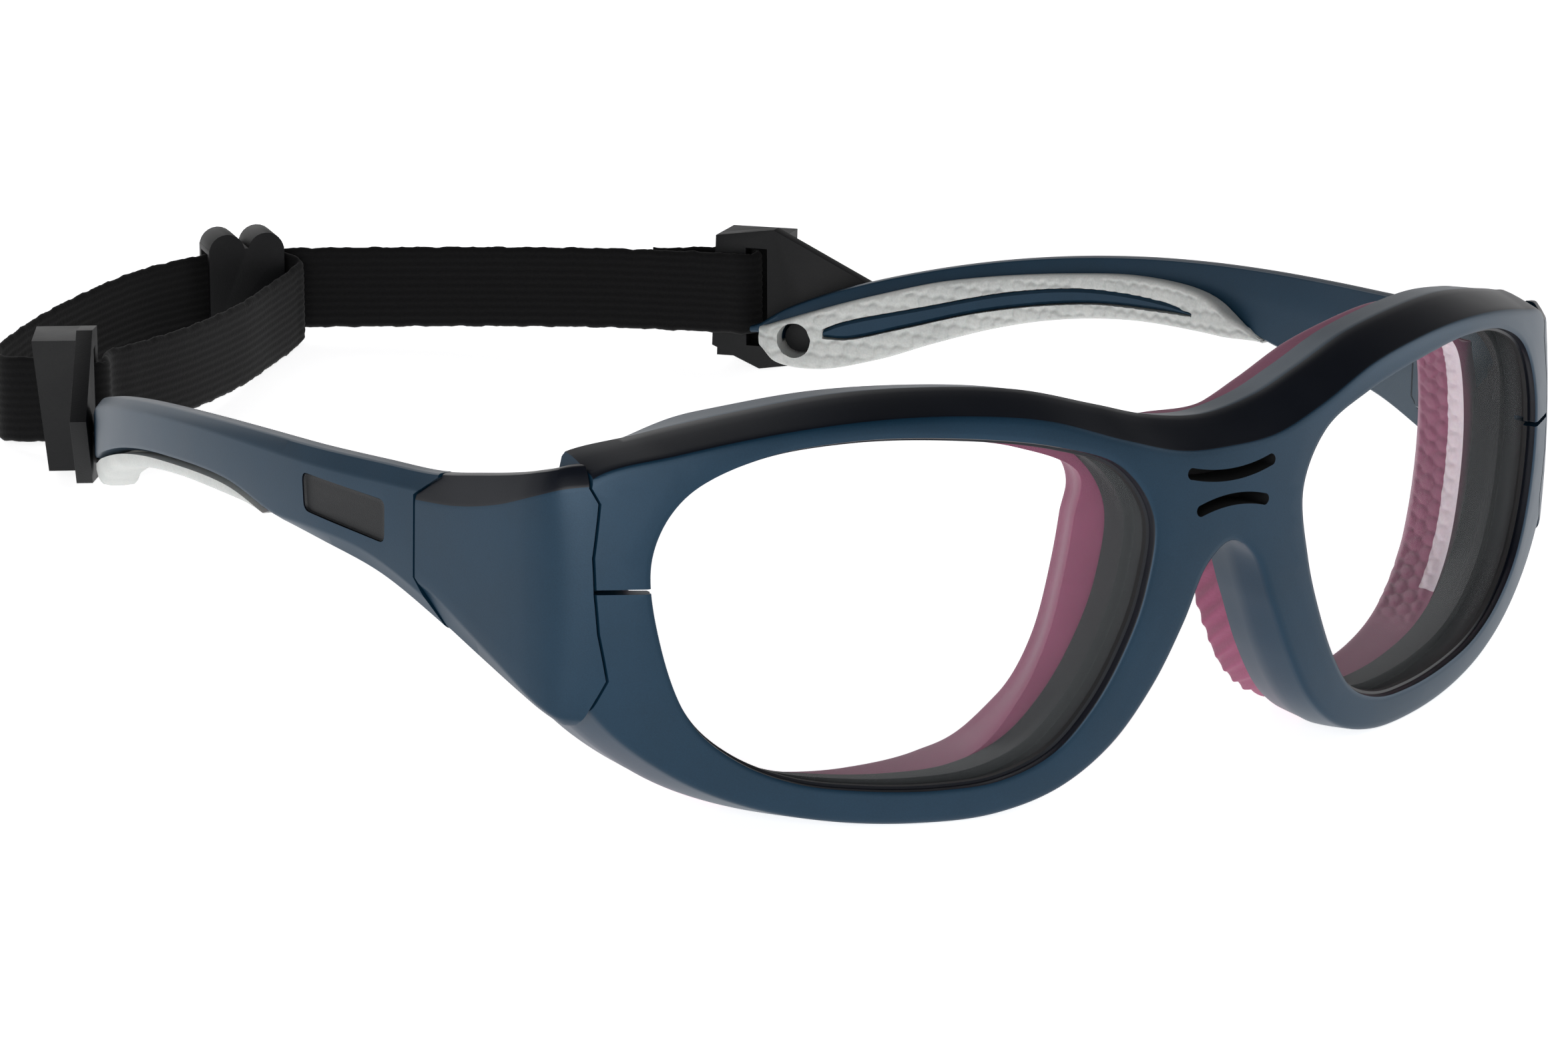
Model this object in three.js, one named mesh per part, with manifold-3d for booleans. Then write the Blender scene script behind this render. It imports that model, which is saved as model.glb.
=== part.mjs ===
// Sports protective goggles: a wraparound front with two clear lenses, a soft face pad, two folding
// temples with soft grips, and an elastic head strap held by a clip on each temple tip.
// Millimetres. X runs across the face (wearer's left is +X), the front looks along -Y, Z is up.
// Everything is drawn with the temples level, then the whole group is pitched and moved, so that
// the goggles stand on Z = 0 on the two lower rims and the two strap clips, centred on the origin.
import * as THREE from 'three';
import { mergeVertices } from 'three/addons/utils/BufferGeometryUtils.js';
import Module from 'manifold-3d';

const wasm = await Module();
wasm.setup();

// ---- driving dimensions ----
const REST_PITCH = 5.5; // degrees that the level goggles are pitched to stand on a table
const REST_LIFT = 22.62; // height of the drawing origin above the table
const REST_FORWARD = 90.65; // brings the origin under the middle of the whole object
const GAP = 0.3; // clearance between neighbouring pieces
const FACE_RADIUS = 106; // the front is part of a sphere
const FACE_MID_Z = 3.4; // height of the sphere's foremost point
const FRONT_DEPTH = 8; // thickness of the front moulding
const LENS_SEAT = [1.7, 4.4]; // depths of the lens groove behind the front face
const LENS_DEPTHS = [2.0, 4.1];
const LENS_GROOVE = 1.3; // groove depth beyond the opening
const LENS_INSERT = 0.95; // how far the lens edge reaches into the groove
const PAD_DEPTHS = [8.6, 11.2, 14.2]; // soft pad, measured behind the front face
const PAD_INSET = 1.4;
const CORNER_X = 62; // the front ends here and the temples' flared ends begin
const SLIT_Z = 3.8; // height of the split in each rim
const SLIT_WIDTH = 0.5;
const VENT_HEIGHT = 1.3;
const HINGE = new THREE.Vector3(60.2, 34.7, 4);
const HINGE_LEAN = 4; // degrees; the two pins lean opposite ways so folded temples pass each other
const HINGE_RADIUS = 2;
const PIN_RADIUS = 0.7;
const KNUCKLE = 4.4; // height of the temple's middle knuckle
const KNUCKLE_STACK = 12;
const SHELL = 2.4; // thickness of the hard temple shell
const GRIP_THICKNESS = 1.9; // soft layer on the inside of the temple
const FLARE_Y = 20.4; // the flared end starts here, on the curve of the front
const SEAM_Y = 41.8; // where the flared end meets the arm
const GRIP_Y = 70; // where the soft grip starts
const TIP_Y = 138.5;
const HOLE = new THREE.Vector2(133.9, -4.4); // peg hole, y and z
const HOLE_RADIUS = 2.1;
const PEG_RADIUS = 1.75;
const STRAP_WIDTH = 9.8;
const STRAP_THICKNESS = 1.1;
const SLIDER_Z = 0.5;

// ---- materials ----
const FRAME_BLUE = { color: 0x2b4256, roughness: 0.38, metalness: 0.35 };
const BLACK = { color: 0x141416, roughness: 0.5, metalness: 0 };
const STEEL = { color: 0xb8bcc0, roughness: 0.3, metalness: 1 };
const WHITE_GRIP = { color: 0xdde0da, roughness: 0.6, metalness: 0 };
const PINK_PAD = { color: 0x96596c, roughness: 0.65, metalness: 0 };
const BADGE = { color: 0x33363a, roughness: 0.35, metalness: 0.4 };
const CLEAR = { color: 0xf4f8fa, roughness: 0.05, metalness: 0 };

// ---- mesh helpers ----
const v2 = (x, y) => new THREE.Vector2(x, y);
const v3 = (x, y, z) => new THREE.Vector3(x, y, z);

// Closed geometry from points and triangles, turned so that its faces point out.
function meshFrom(points, triangles) {
  let volume = 0;
  for (const [a, b, c] of triangles) volume += points[a].dot(points[b].clone().cross(points[c]));
  const faces = volume < 0 ? triangles.map(([a, b, c]) => [a, c, b]) : triangles;
  const geometry = new THREE.BufferGeometry();
  geometry.setFromPoints(points);
  geometry.setIndex(faces.flat());
  return geometry;
}

// A wall between successive loops of points; first and last loops are closed by flat caps.
// Each layer is { outer, holes }, every list in the same order in every layer.
function layeredSolid(layers, flat = (p) => v2(p.x, p.z)) {
  const points = [];
  const triangles = [];
  const loopsOf = (layer) => [layer.outer, ...(layer.holes ?? [])];
  const starts = layers.map((layer) => loopsOf(layer).map((loop) => {
    const start = points.length;
    points.push(...loop);
    return start;
  }));
  for (let k = 0; k + 1 < layers.length; k += 1) {
    loopsOf(layers[k]).forEach((loop, j) => {
      const clockwise = THREE.ShapeUtils.isClockWise(loop.map(flat));
      for (let i = 0; i < loop.length; i += 1) {
        const next = (i + 1) % loop.length;
        const [a, b] = [starts[k][j] + i, starts[k][j] + next];
        const [c, d] = [starts[k + 1][j] + i, starts[k + 1][j] + next];
        if (clockwise === (j === 0)) triangles.push([a, b, d], [a, d, c]);
        else triangles.push([a, d, b], [a, c, d]);
      }
    });
  }
  for (const k of [0, layers.length - 1]) {
    const loops = loopsOf(layers[k]).map((loop) => loop.map(flat));
    const corners = loops.flat();
    const order = loopsOf(layers[k]).flatMap((loop, j) => loop.map((_, i) => starts[k][j] + i));
    for (const face of THREE.ShapeUtils.triangulateShape(loops[0], loops.slice(1))) {
      const clockwise = THREE.ShapeUtils.isClockWise(face.map((i) => corners[i]));
      const [a, b, c] = face.map((i) => order[i]);
      triangles.push(clockwise === (k === 0) ? [a, c, b] : [a, b, c]);
    }
  }
  return meshFrom(points, triangles);
}

function solidOf(geometry) {
  const bare = geometry.clone();
  for (const name of ['normal', 'uv']) bare.deleteAttribute(name);
  const merged = mergeVertices(bare, 1e-4);
  const vertProperties = new Float32Array(merged.attributes.position.array);
  const triVerts = new Uint32Array(merged.index.array);
  return new wasm.Manifold(new wasm.Mesh({ numProp: 3, vertProperties, triVerts }));
}

function geometryOf(solid) {
  const mesh = solid.getMesh();
  const geometry = new THREE.BufferGeometry();
  geometry.setAttribute('position', new THREE.BufferAttribute(mesh.vertProperties, 3));
  geometry.setIndex(new THREE.BufferAttribute(mesh.triVerts, 1));
  return geometry;
}

function cut(geometry, ...tools) {
  const solid = tools.reduce((left, tool) => left.subtract(solidOf(tool)), solidOf(geometry));
  return geometryOf(solid);
}

function join(...geometries) {
  return geometryOf(geometries.map(solidOf).reduce((sum, next) => sum.add(next)));
}

function box(low, high) {
  const size = high.map((value, i) => value - low[i]);
  const geometry = new THREE.BoxGeometry(...size);
  return geometry.translate(...high.map((value, i) => (value + low[i]) / 2));
}

// A cylinder from one point to another.
function rod(from, to, radius, sides = 20) {
  const along = to.clone().sub(from);
  const geometry = new THREE.CylinderGeometry(radius, radius, along.length(), sides);
  const turn = new THREE.Quaternion().setFromUnitVectors(v3(0, 1, 0), along.clone().normalize());
  geometry.applyQuaternion(turn);
  return geometry.translate(...from.clone().lerp(to, 0.5));
}

function mirrored(geometry) {
  const copy = geometry.clone().scale(-1, 1, 1);
  const index = Array.from(copy.index.array);
  for (let i = 0; i < index.length; i += 3) [index[i + 1], index[i + 2]] = [index[i + 2], index[i + 1]];
  copy.setIndex(index);
  return copy;
}

// ---- curves ----
function smoothLoop(corners, count) {
  const curve = new THREE.CatmullRomCurve3(corners.map(([x, z]) => v3(x, 0, z)), true, 'centripetal');
  return curve.getSpacedPoints(count).slice(0, count).map((p) => v2(p.x, p.z));
}

function offsetLoop(loop, distance) {
  const outward = THREE.ShapeUtils.isClockWise(loop) ? 1 : -1;
  return loop.map((point, i) => {
    const before = loop[(i + loop.length - 1) % loop.length];
    const after = loop[(i + 1) % loop.length];
    const along = after.clone().sub(before).normalize();
    return v2(point.x - outward * along.y * distance, point.y + outward * along.x * distance);
  });
}

// Depth of the spherical front at a place, and the same surface some way behind it.
function faceY(x, z, behind) {
  return FACE_RADIUS - Math.sqrt((FACE_RADIUS - behind) ** 2 - x * x - (z - FACE_MID_Z) ** 2);
}

const onFace = (loop, behind) => loop.map((p) => v3(p.x, faceY(p.x, p.y, behind), p.y));
const flip = (loop) => loop.map((p) => v2(-p.x, p.y));

// ---- front outlines, left half, from the bridge's top round to its underside ----
const FACE_EDGE = [
  [0, 12.9], [6, 13.2], [12.5, 15], [21, 17.8], [29, 19], [37, 19.3], [46, 18.6], [55, 16.9],
  [62, 14.8], [64.3, 11], [64.6, 3.8], [63.8, -5], [61, -10], [55, -15.3], [48.5, -18.6],
  [41, -20.6], [32.5, -21.6], [25, -21.5], [18.5, -19.7], [13.2, -15.9], [9, -10.3],
  [5.8, -4.3], [3, 1.4], [0, 3.3],
];
const BODY_EDGE = [
  [0, 15.2], [7, 16.1], [13, 17.8], [21, 20], [30, 21], [39, 21], [47.5, 19.8], [56, 17.9],
  [62.5, 15.8], [64.8, 12], [65, 3.8], [64.3, -5.2], [61.4, -10.6], [55.5, -16], [49, -19.2],
  [41, -21.1], [32.5, -22], [25, -21.9], [18.5, -20.2], [12.9, -16.5], [8.4, -10.6],
  [5.2, -4], [2.6, 1.9], [0, 3.9],
];
const LENS_OPENING = [
  [10.2, 7], [11, 0], [13.2, -6], [16.3, -11.5], [20, -15.5], [25, -17.5], [31, -17.8],
  [38, -17.2], [44.5, -15.9], [49.7, -13.4], [53.9, -9.3], [56.7, -1.5], [57.3, 7], [54.5, 12.4],
  [48.3, 15.7], [40, 16.9], [30, 16.4], [20, 14.6], [13.5, 12],
];
const PAD_OPENING = [
  [12, 10], [12.8, 5.6], [13.8, 0.5], [15.4, -6.3], [17.6, -11.8], [22, -15.8], [31, -17.4],
  [40, -16.6], [46.6, -14.4], [51.6, -10], [54.4, -3.4], [55, 4.5], [53, 10.8], [47.3, 14.1],
  [39, 15.2], [29, 14.9], [19, 13.3],
];
const OUTLINE_POINTS = 104;
const OPENING_POINTS = 44;

// Joins a half outline to its mirror image.
function wholeLoop(half) {
  const back = half.slice(1, -1).reverse().map(([x, z]) => [-x, z]);
  return smoothLoop([...half, ...back], OUTLINE_POINTS);
}

const faceEdge = wholeLoop(FACE_EDGE);
const bodyEdge = wholeLoop(BODY_EDGE);
const opening = smoothLoop(LENS_OPENING, OPENING_POINTS);
const padOpening = smoothLoop(PAD_OPENING, OPENING_POINTS);

function blendLoops(a, b, share) {
  return a.map((point, i) => point.clone().lerp(b[i], share));
}

function frontLayer(outline, holeOffset, behind) {
  const hole = offsetLoop(opening, holeOffset);
  return {
    outer: onFace(outline, behind),
    holes: [onFace(hole, behind), onFace(flip(hole), behind)],
  };
}

// Pocket for the screw that closes the split rim, open to the back.
const RIM_SCREW = v3(60.6, 26.4, SLIT_Z);
const RIM_SCREW_LENGTH = 9;
function rimScrewPocket() {
  const { x, y, z } = RIM_SCREW;
  const half = RIM_SCREW_LENGTH / 2 + GAP;
  return box([x - 1.1, y - 1.1, z - half], [x + 1.1, y + 6, z + half]);
}

// The table's top, cut off the lower rims so that each has a small flat land.
function tableSlab() {
  const slab = box([-80, -80, -40], [80, 80, 0]);
  slab.translate(0, 0, -REST_LIFT);
  return slab.rotateX(THREE.MathUtils.degToRad(REST_PITCH));
}

function frontFrame() {
  const [seatFront, seatBack] = LENS_SEAT;
  const seat = LENS_GROOVE;
  const front = layeredSolid([
    frontLayer(faceEdge, 0.5, 0),
    frontLayer(blendLoops(faceEdge, bodyEdge, 0.4), 0, seatFront - 0.2),
    frontLayer(blendLoops(faceEdge, bodyEdge, 0.5), seat, seatFront),
    frontLayer(bodyEdge, seat, seatBack),
    frontLayer(bodyEdge, -0.4, seatBack + 0.2),
    frontLayer(offsetLoop(bodyEdge, -0.4), -0.4, FRONT_DEPTH),
  ]);
  const corner = box([CORNER_X, -10, -30], [90, 60, 30]);
  const slit = box([57, 0, SLIT_Z - SLIT_WIDTH / 2], [90, 60, SLIT_Z + SLIT_WIDTH / 2]);
  const vents = [[10.4, 5.2], [6.8, 4]].map(([z, reach]) => (
    box([-reach, -5, z - VENT_HEIGHT / 2], [reach, 20, z + VENT_HEIGHT / 2])
  ));
  const sides = [corner, slit, rimScrewPocket()];
  return cut(front, ...sides, ...sides.map(mirrored), ...vents, tableSlab());
}

const frontShape = frontFrame();

// A thin curved plate: rings shrink towards the middle on both faces.
function dish(outline, centre, depths, rings = 4) {
  const points = [];
  const triangles = [];
  const count = outline.length;
  for (const depth of depths) {
    for (let ring = rings; ring > 0; ring -= 1) {
      points.push(...onFace(outline.map((p) => centre.clone().lerp(p, ring / rings)), depth));
    }
    points.push(v3(centre.x, faceY(centre.x, centre.y, depth), centre.y));
  }
  const side = rings * count + 1;
  for (const face of [0, 1]) {
    const base = face * side;
    const add = (a, b, c) => triangles.push(face === 0 ? [a, b, c] : [a, c, b]);
    for (let i = 0; i < count; i += 1) {
      const next = (i + 1) % count;
      for (let ring = 0; ring + 1 < rings; ring += 1) {
        const [outer, inner] = [base + ring * count, base + (ring + 1) * count];
        add(outer + i, outer + next, inner + next);
        add(outer + i, inner + next, inner + i);
      }
      add(base + (rings - 1) * count + i, base + (rings - 1) * count + next, base + side - 1);
      if (face === 0) triangles.push([i, side + next, next], [i, side + i, side + next]);
    }
  }
  return meshFrom(points, triangles);
}

const LENS_CENTRE = v2(35, 0);
const lens = () => dish(offsetLoop(opening, LENS_INSERT), LENS_CENTRE, LENS_DEPTHS);

function facePad() {
  const [start, middle, end] = PAD_DEPTHS;
  const layer = (inset, holeOffset, behind) => {
    const hole = offsetLoop(padOpening, holeOffset);
    return {
      outer: onFace(offsetLoop(bodyEdge, -inset), behind),
      holes: [onFace(hole, behind), onFace(flip(hole), behind)],
    };
  };
  const pad = layeredSolid([
    layer(PAD_INSET, 0, start), layer(PAD_INSET, 0, middle), layer(PAD_INSET + 0.9, 0.8, end),
  ]);
  const hingeSpace = box([57.2, 20, -30], [90, 60, 30]);
  const frontMoved = frontShape.clone().translate(0, GAP, 0);
  return cut(pad, frontShape, frontMoved, hingeSpace, mirrored(hingeSpace), tableSlab());
}

// Cheese-head screw standing upright: the head on top, cut by a screwdriver slot.
function uprightScrew(length, shankRadius, headRadius) {
  const head = 1.1;
  const top = length / 2;
  const profile = [
    v2(0, -top), v2(shankRadius, -top), v2(shankRadius, top - head),
    v2(headRadius, top - head), v2(headRadius, top), v2(0, top),
  ];
  const body = new THREE.LatheGeometry(profile, 20).rotateX(Math.PI / 2);
  const slot = box([-headRadius - 1, -0.2, top - 0.45], [headRadius + 1, 0.2, top + 1]);
  return cut(body, slot);
}

// ---- hinge ----
// Drawn round the pin, then leaned and moved to the left corner of the front.
function atHinge(geometry, side) {
  const lean = THREE.MathUtils.degToRad(HINGE_LEAN) * side;
  return geometry.rotateY(lean).translate(HINGE.x, HINGE.y, HINGE.z);
}

function knuckle(low, high) {
  return rod(v3(0, 0, low), v3(0, 0, high), HINGE_RADIUS, 24);
}

const pinHole = () => rod(v3(0, 0, -9), v3(0, 0, 9), PIN_RADIUS + 0.1, 20);
const knuckleHalf = KNUCKLE / 2;
const stackHalf = KNUCKLE_STACK / 2;

function hingeBlock(side) {
  const plate = box([-1.9, -3.3, -stackHalf], [1.2, -2.1, stackHalf]);
  const ears = [-1, 1].map((end) => {
    const near = end * (knuckleHalf + GAP);
    const far = end * stackHalf;
    const low = Math.min(near, far);
    const high = Math.max(near, far);
    return join(knuckle(low, high), box([-1.9, -3, low], [0.9, 0, high]));
  });
  return atHinge(cut(join(plate, ...ears), pinHole()), side);
}

const hingeScrew = (side) => atHinge(uprightScrew(KNUCKLE_STACK + 2.2, PIN_RADIUS, 1.5), side);

// ---- temple, left side ----
// y, outer x, top z, bottom z
const TEMPLE_STATIONS = [
  [20.4, 62.4, 15.8, -9.9], [21.5, 63.9, 15.7, -9.9], [22.9, 65.1, 15.5, -9.7], [25, 65.9, 15.1, -9],
  [29, 66.3, 14.2, -7.4], [35, 66.7, 13.1, -5], [41.6, 67.1, 12.1, -2.4], [50, 67.7, 11.8, 0.4],
  [60, 68.3, 11.5, 2], [70, 68.2, 11.2, 2.9], [80, 67.6, 10.7, 3.1],
  [90, 66.4, 9.9, 2.8], [100, 64.4, 8.7, 1.5], [110, 61.6, 7, -0.9], [118, 58.4, 5.2, -3.6],
  [125, 54.8, 3.2, -6.3], [131, 51.4, 1, -7.8], [135.5, 48.4, -1.2, -7.4], [138.5, 46.3, -3.4, -5.2],
];
const stationCurve = (column) => new THREE.CatmullRomCurve3(
  TEMPLE_STATIONS.map((row) => v3(row[0], row[column], 0)), false, 'centripetal',
);
const TEMPLE_CURVES = [null, stationCurve(1), stationCurve(2), stationCurve(3)];

// Value of a temple curve at a place along the temple, found by halving.
function templeAt(column, y) {
  let [low, high] = [0, 1];
  for (let step = 0; step < 24; step += 1) {
    const middle = (low + high) / 2;
    if (TEMPLE_CURVES[column].getPoint(middle).x < y) low = middle;
    else high = middle;
  }
  return TEMPLE_CURVES[column].getPoint(low).y;
}

// Outward direction of the temple's face at a place along it, seen from above.
function templeNormal(y) {
  const slope = (templeAt(1, y + 0.4) - templeAt(1, y - 0.4)) / 0.8;
  return v3(1, -slope, 0).normalize();
}

// Drill that makes the peg hole, square to the temple's face.
function pegDrill() {
  const across = templeNormal(HOLE.x);
  const centre = v3(templeAt(1, HOLE.x), HOLE.x, HOLE.y);
  const [from, to] = [-8, 3].map((reach) => centre.clone().addScaledVector(across, reach));
  return rod(from, to, HOLE_RADIUS, 24);
}

// Ring of a temple section: outer and inner x, top and bottom z, with chamfered outer corners.
function templeRing(y, { outer, inner, top, bottom }, chamfer) {
  const across = templeNormal(y);
  const at = (depth, z) => v3(templeAt(1, y), y, z).addScaledVector(across, -depth);
  const [a, b] = [outer, inner];
  const c = Math.min(chamfer, (top - bottom) / 2.5);
  return [
    at(a + c, top), at(a + 0.2, top - 1.2 * c), at(a, (top + bottom) / 2),
    at(a + 0.2, bottom + 1.2 * c), at(a + c, bottom), at(b, bottom),
    at(b, (top + bottom) / 2), at(b, top),
  ];
}

function templeSpan(from, to, steps, section, chamfer = 0.8) {
  const layers = [];
  for (let k = 0; k <= steps; k += 1) {
    const y = from + ((to - from) * k) / steps;
    layers.push({ outer: templeRing(y, section(y), chamfer) });
  }
  return layeredSolid(layers);
}

// The shell's lower edge rises above the temple's own edge where the soft grip wraps under it.
function shellBottom(y) {
  const wrap = THREE.MathUtils.smoothstep(y, GRIP_Y - 6, GRIP_Y + 8);
  return templeAt(3, y) + 2.1 * wrap;
}

function flare(side) {
  const shell = templeSpan(FLARE_Y, SEAM_Y, 16, (y) => (
    { outer: 0, inner: SHELL, top: templeAt(2, y), bottom: templeAt(3, y) }
  ), 1.6);
  const frontSpace = box([40, 0, -30], [CORNER_X + GAP, 31.5, 30]);
  const arm = box([-0.6, -knuckleHalf + 2, -knuckleHalf], [4.6, knuckleHalf + 1, knuckleHalf]);
  const middle = cut(join(knuckle(-knuckleHalf, knuckleHalf), arm), pinHole());
  return join(cut(shell, frontSpace), atHinge(middle, side));
}

const BADGE_SPAN = [48.2, 61.8];
const BADGE_MARGIN = 2.6;
const BADGE_DEPTH = 0.7;

// A slab that follows the temple's outer face, used for the badge and its recess.
function faceSlab(from, to, low, high, depthOut, depthIn) {
  const layers = [];
  const steps = 5;
  for (let k = 0; k <= steps; k += 1) {
    const y = from + ((to - from) * k) / steps;
    const across = templeNormal(y);
    const at = (depth, z) => v3(templeAt(1, y), y, z).addScaledVector(across, -depth);
    const [bottom, top] = [low(y), high(y)];
    const outer = [at(depthOut, top), at(depthOut, bottom), at(depthIn, bottom), at(depthIn, top)];
    layers.push({ outer });
  }
  return layeredSolid(layers);
}

const badgeLow = (y) => templeAt(3, y) + BADGE_MARGIN + 0.6;
const badgeHigh = (y) => templeAt(2, y) - BADGE_MARGIN;

function templeArm() {
  const shell = templeSpan(SEAM_Y + GAP, TIP_Y, 26, (y) => {
    const top = templeAt(2, y);
    return { outer: 0, inner: SHELL, top, bottom: Math.min(shellBottom(y), top - 0.6) };
  });
  const [from, to] = BADGE_SPAN;
  const low = (y) => badgeLow(y) - GAP;
  const high = (y) => badgeHigh(y) + GAP;
  const recess = faceSlab(from - GAP, to + GAP, low, high, -2, BADGE_DEPTH + GAP);
  return cut(shell, recess, pegDrill());
}

function badge() {
  const [from, to] = BADGE_SPAN;
  return faceSlab(from, to, badgeLow, badgeHigh, 0.05, BADGE_DEPTH);
}

// Soft layer on the inside of the temple, with a lip that wraps under the shell.
function grip() {
  const inside = templeSpan(GRIP_Y, TIP_Y - 0.4, 22, (y) => ({
    outer: SHELL + GAP, inner: SHELL + GAP + GRIP_THICKNESS,
    top: Math.max(templeAt(2, y) - 1.2, templeAt(3, y) + 1.2), bottom: templeAt(3, y),
  }), 0.05);
  const lip = templeSpan(GRIP_Y + 6, TIP_Y - 4.2, 18, (y) => ({
    outer: 0.5, inner: SHELL + GAP + 0.8,
    top: shellBottom(y) - GAP, bottom: templeAt(3, y),
  }), 0.4);
  return cut(join(inside, lip), pegDrill());
}

// ---- strap clip ----
// Drawn flat: u runs back along the temple tip from the peg, w across it, h up.
const CLIP_PLATE = 1.8;
const CLIP_OUTLINE = [
  [-10.5, 5.2], [4, 12.4], [11.4, 11.4], [12, -2.2], [6, -4.8], [-3, -3.4],
];
const CLIP_LOOP = [3.2, 11.4]; // extent of the guard loop along the clip
const CLIP_SLOT = { from: 4.9, to: 7.6 };
const CLIP_REACH = 5.8; // outer face of the guard loop
const CLIP_WALL = 1.4;
const CLIP_LOW = -2; // strap passage, measured from the peg
const CLIP_HIGH = 10;
const CLIP_SHEAR = 0.1; // the guard loop leans outward towards its top

function clipShape() {
  const outline = new THREE.Shape(CLIP_OUTLINE.map(([u, h]) => v2(u, h)));
  const flat = new THREE.ExtrudeGeometry(outline, { depth: CLIP_PLATE, bevelEnabled: false });
  const plate = flat.applyMatrix4(new THREE.Matrix4().set(
    0, 0, 1, 0,
    1, 0, 0, 0,
    0, 1, 0, 0,
    0, 0, 0, 1,
  ));
  const slot = box([-1, CLIP_SLOT.from, CLIP_LOW], [CLIP_PLATE + 1, CLIP_SLOT.to, CLIP_HIGH]);
  const [near, far] = CLIP_LOOP;
  const [bottom, top] = [CLIP_LOW - CLIP_WALL, CLIP_HIGH + CLIP_WALL];
  const block = box([0.6, near, bottom], [CLIP_REACH, far, top]);
  const passage = box(
    [-1, near + CLIP_WALL, CLIP_LOW], [CLIP_REACH - CLIP_WALL, far + 2, CLIP_HIGH],
  );
  const guard = cut(block, passage).applyMatrix4(new THREE.Matrix4().set(
    1, 0, CLIP_SHEAR, -2 * CLIP_SHEAR,
    0, 1, 0, 0,
    0, 0, 1, 0,
    0, 0, 0, 1,
  ));
  const peg = rod(v3(0.5, 0, 0), v3(-2.6, 0, 0), PEG_RADIUS);
  return join(cut(plate, slot), guard, peg);
}

// Places the left clip against the outside of its temple tip.
function placeClip(geometry) {
  const normal = templeNormal(HOLE.x);
  const base = v3(templeAt(1, HOLE.x), HOLE.x, HOLE.y).addScaledVector(normal, GAP);
  return geometry.rotateZ(Math.atan2(normal.y, normal.x)).translate(base.x, base.y, base.z);
}

// ---- strap ----
// x, y, z of the middle of the strap
const STRAP_RUN = [
  [38.67, 150, 0.1], [40.99, 147.95, 0.1], [43.3, 146.86, 0.1], [45.13, 145.69, 0.1],
  [46.64, 143.57, 0.1], [47.69, 141.87, 0.1], [46.9, 139.82, 0.1], [44.67, 139.81, 0.1],
  [43.04, 142.2, 0.1], [40.94, 145.01, 0.1], [38.35, 148.08, 0.1], [34.5, 152.6, 0.1],
  [24, 162, 0.1], [12, 170.6, 0.2], [2.1, 175.7, 0.5], [-1.1, 177, 0.5],
];
const STRAP_LOOP = [
  [-5.77, 177.2, 0.5], [-1.92, 175.79, 0.5], [1.25, 174.54, 0.3], [2.22, 172.53, -0.4],
  [0.31, 171.1, -1], [-6, 166.6, -1.6], [-14, 160.4, -1.9], [-26, 152.8, -1.9],
  [-36.2, 147.6, -1.6], [-40.94, 145.01, -1.3], [-43.04, 142.2, -1.2], [-44.67, 139.81, -1.2],
  [-46.9, 139.82, -1.2], [-47.69, 141.87, -1.2], [-46.64, 143.57, -1.3], [-45.42, 145.89, -1.5],
  [-45.64, 148.22, -1.8], [-47.34, 150.35, -2.1], [-49.52, 153.54, -2.3], [-48.4, 157.2, -2.2],
  [-42, 163, -1.6], [-32, 169.4, -0.7], [-18, 175.9, 0.3], [-6.2, 178.8, 0.5],
];

// A flat band standing on edge along a route.
function band(route, steps) {
  const points = route.map(([x, y, z]) => v3(x, y, z));
  const curve = new THREE.CatmullRomCurve3(points, false, 'centripetal');
  const corners = [];
  const triangles = [];
  for (let k = 0; k <= steps; k += 1) {
    const p = curve.getPointAt(k / steps);
    const t = curve.getTangentAt(k / steps).setZ(0).normalize();
    for (const [across, up] of [[-0.5, -0.5], [0.5, -0.5], [0.5, 0.5], [-0.5, 0.5]]) {
      const out = across * STRAP_THICKNESS;
      corners.push(v3(p.x - t.y * out, p.y + t.x * out, p.z + up * STRAP_WIDTH));
    }
    for (let i = 0; i < 4 && k < steps; i += 1) {
      const [a, b] = [4 * k + i, 4 * k + ((i + 1) % 4)];
      triangles.push([a, b, b + 4], [a, b + 4, a + 4]);
    }
  }
  const end = 4 * steps;
  triangles.push([0, 2, 1], [0, 3, 2], [end, end + 1, end + 2], [end, end + 2, end + 3]);
  return meshFrom(corners, triangles);
}

function slider() {
  const body = box([-4.6, -2.9, -5.7], [4.6, 2.9, 5.8]);
  const lobes = [-2.4, 2.4].map((x) => rod(v3(x, -2.9, 5.4), v3(x, 2.9, 5.4), 2.2, 24));
  const passage = box([-8, -1.9, -5.15], [8, 1.9, 5.15]);
  const shape = cut(join(body, ...lobes), passage);
  return shape.rotateZ(THREE.MathUtils.degToRad(-20)).translate(-3, 177.2, SLIDER_Z);
}

// ---- assembly ----
const goggles = new THREE.Group();
goggles.rotation.x = -THREE.MathUtils.degToRad(REST_PITCH);
goggles.position.set(0, -REST_FORWARD, REST_LIFT);

function add(name, geometry, look) {
  const mesh = new THREE.Mesh(geometry, new THREE.MeshStandardMaterial(look));
  mesh.name = name;
  goggles.add(mesh);
}

const SIDES = [['left', 1], ['right', -1]];
const forSide = (geometry, side) => (side > 0 ? geometry : mirrored(geometry));

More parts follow.
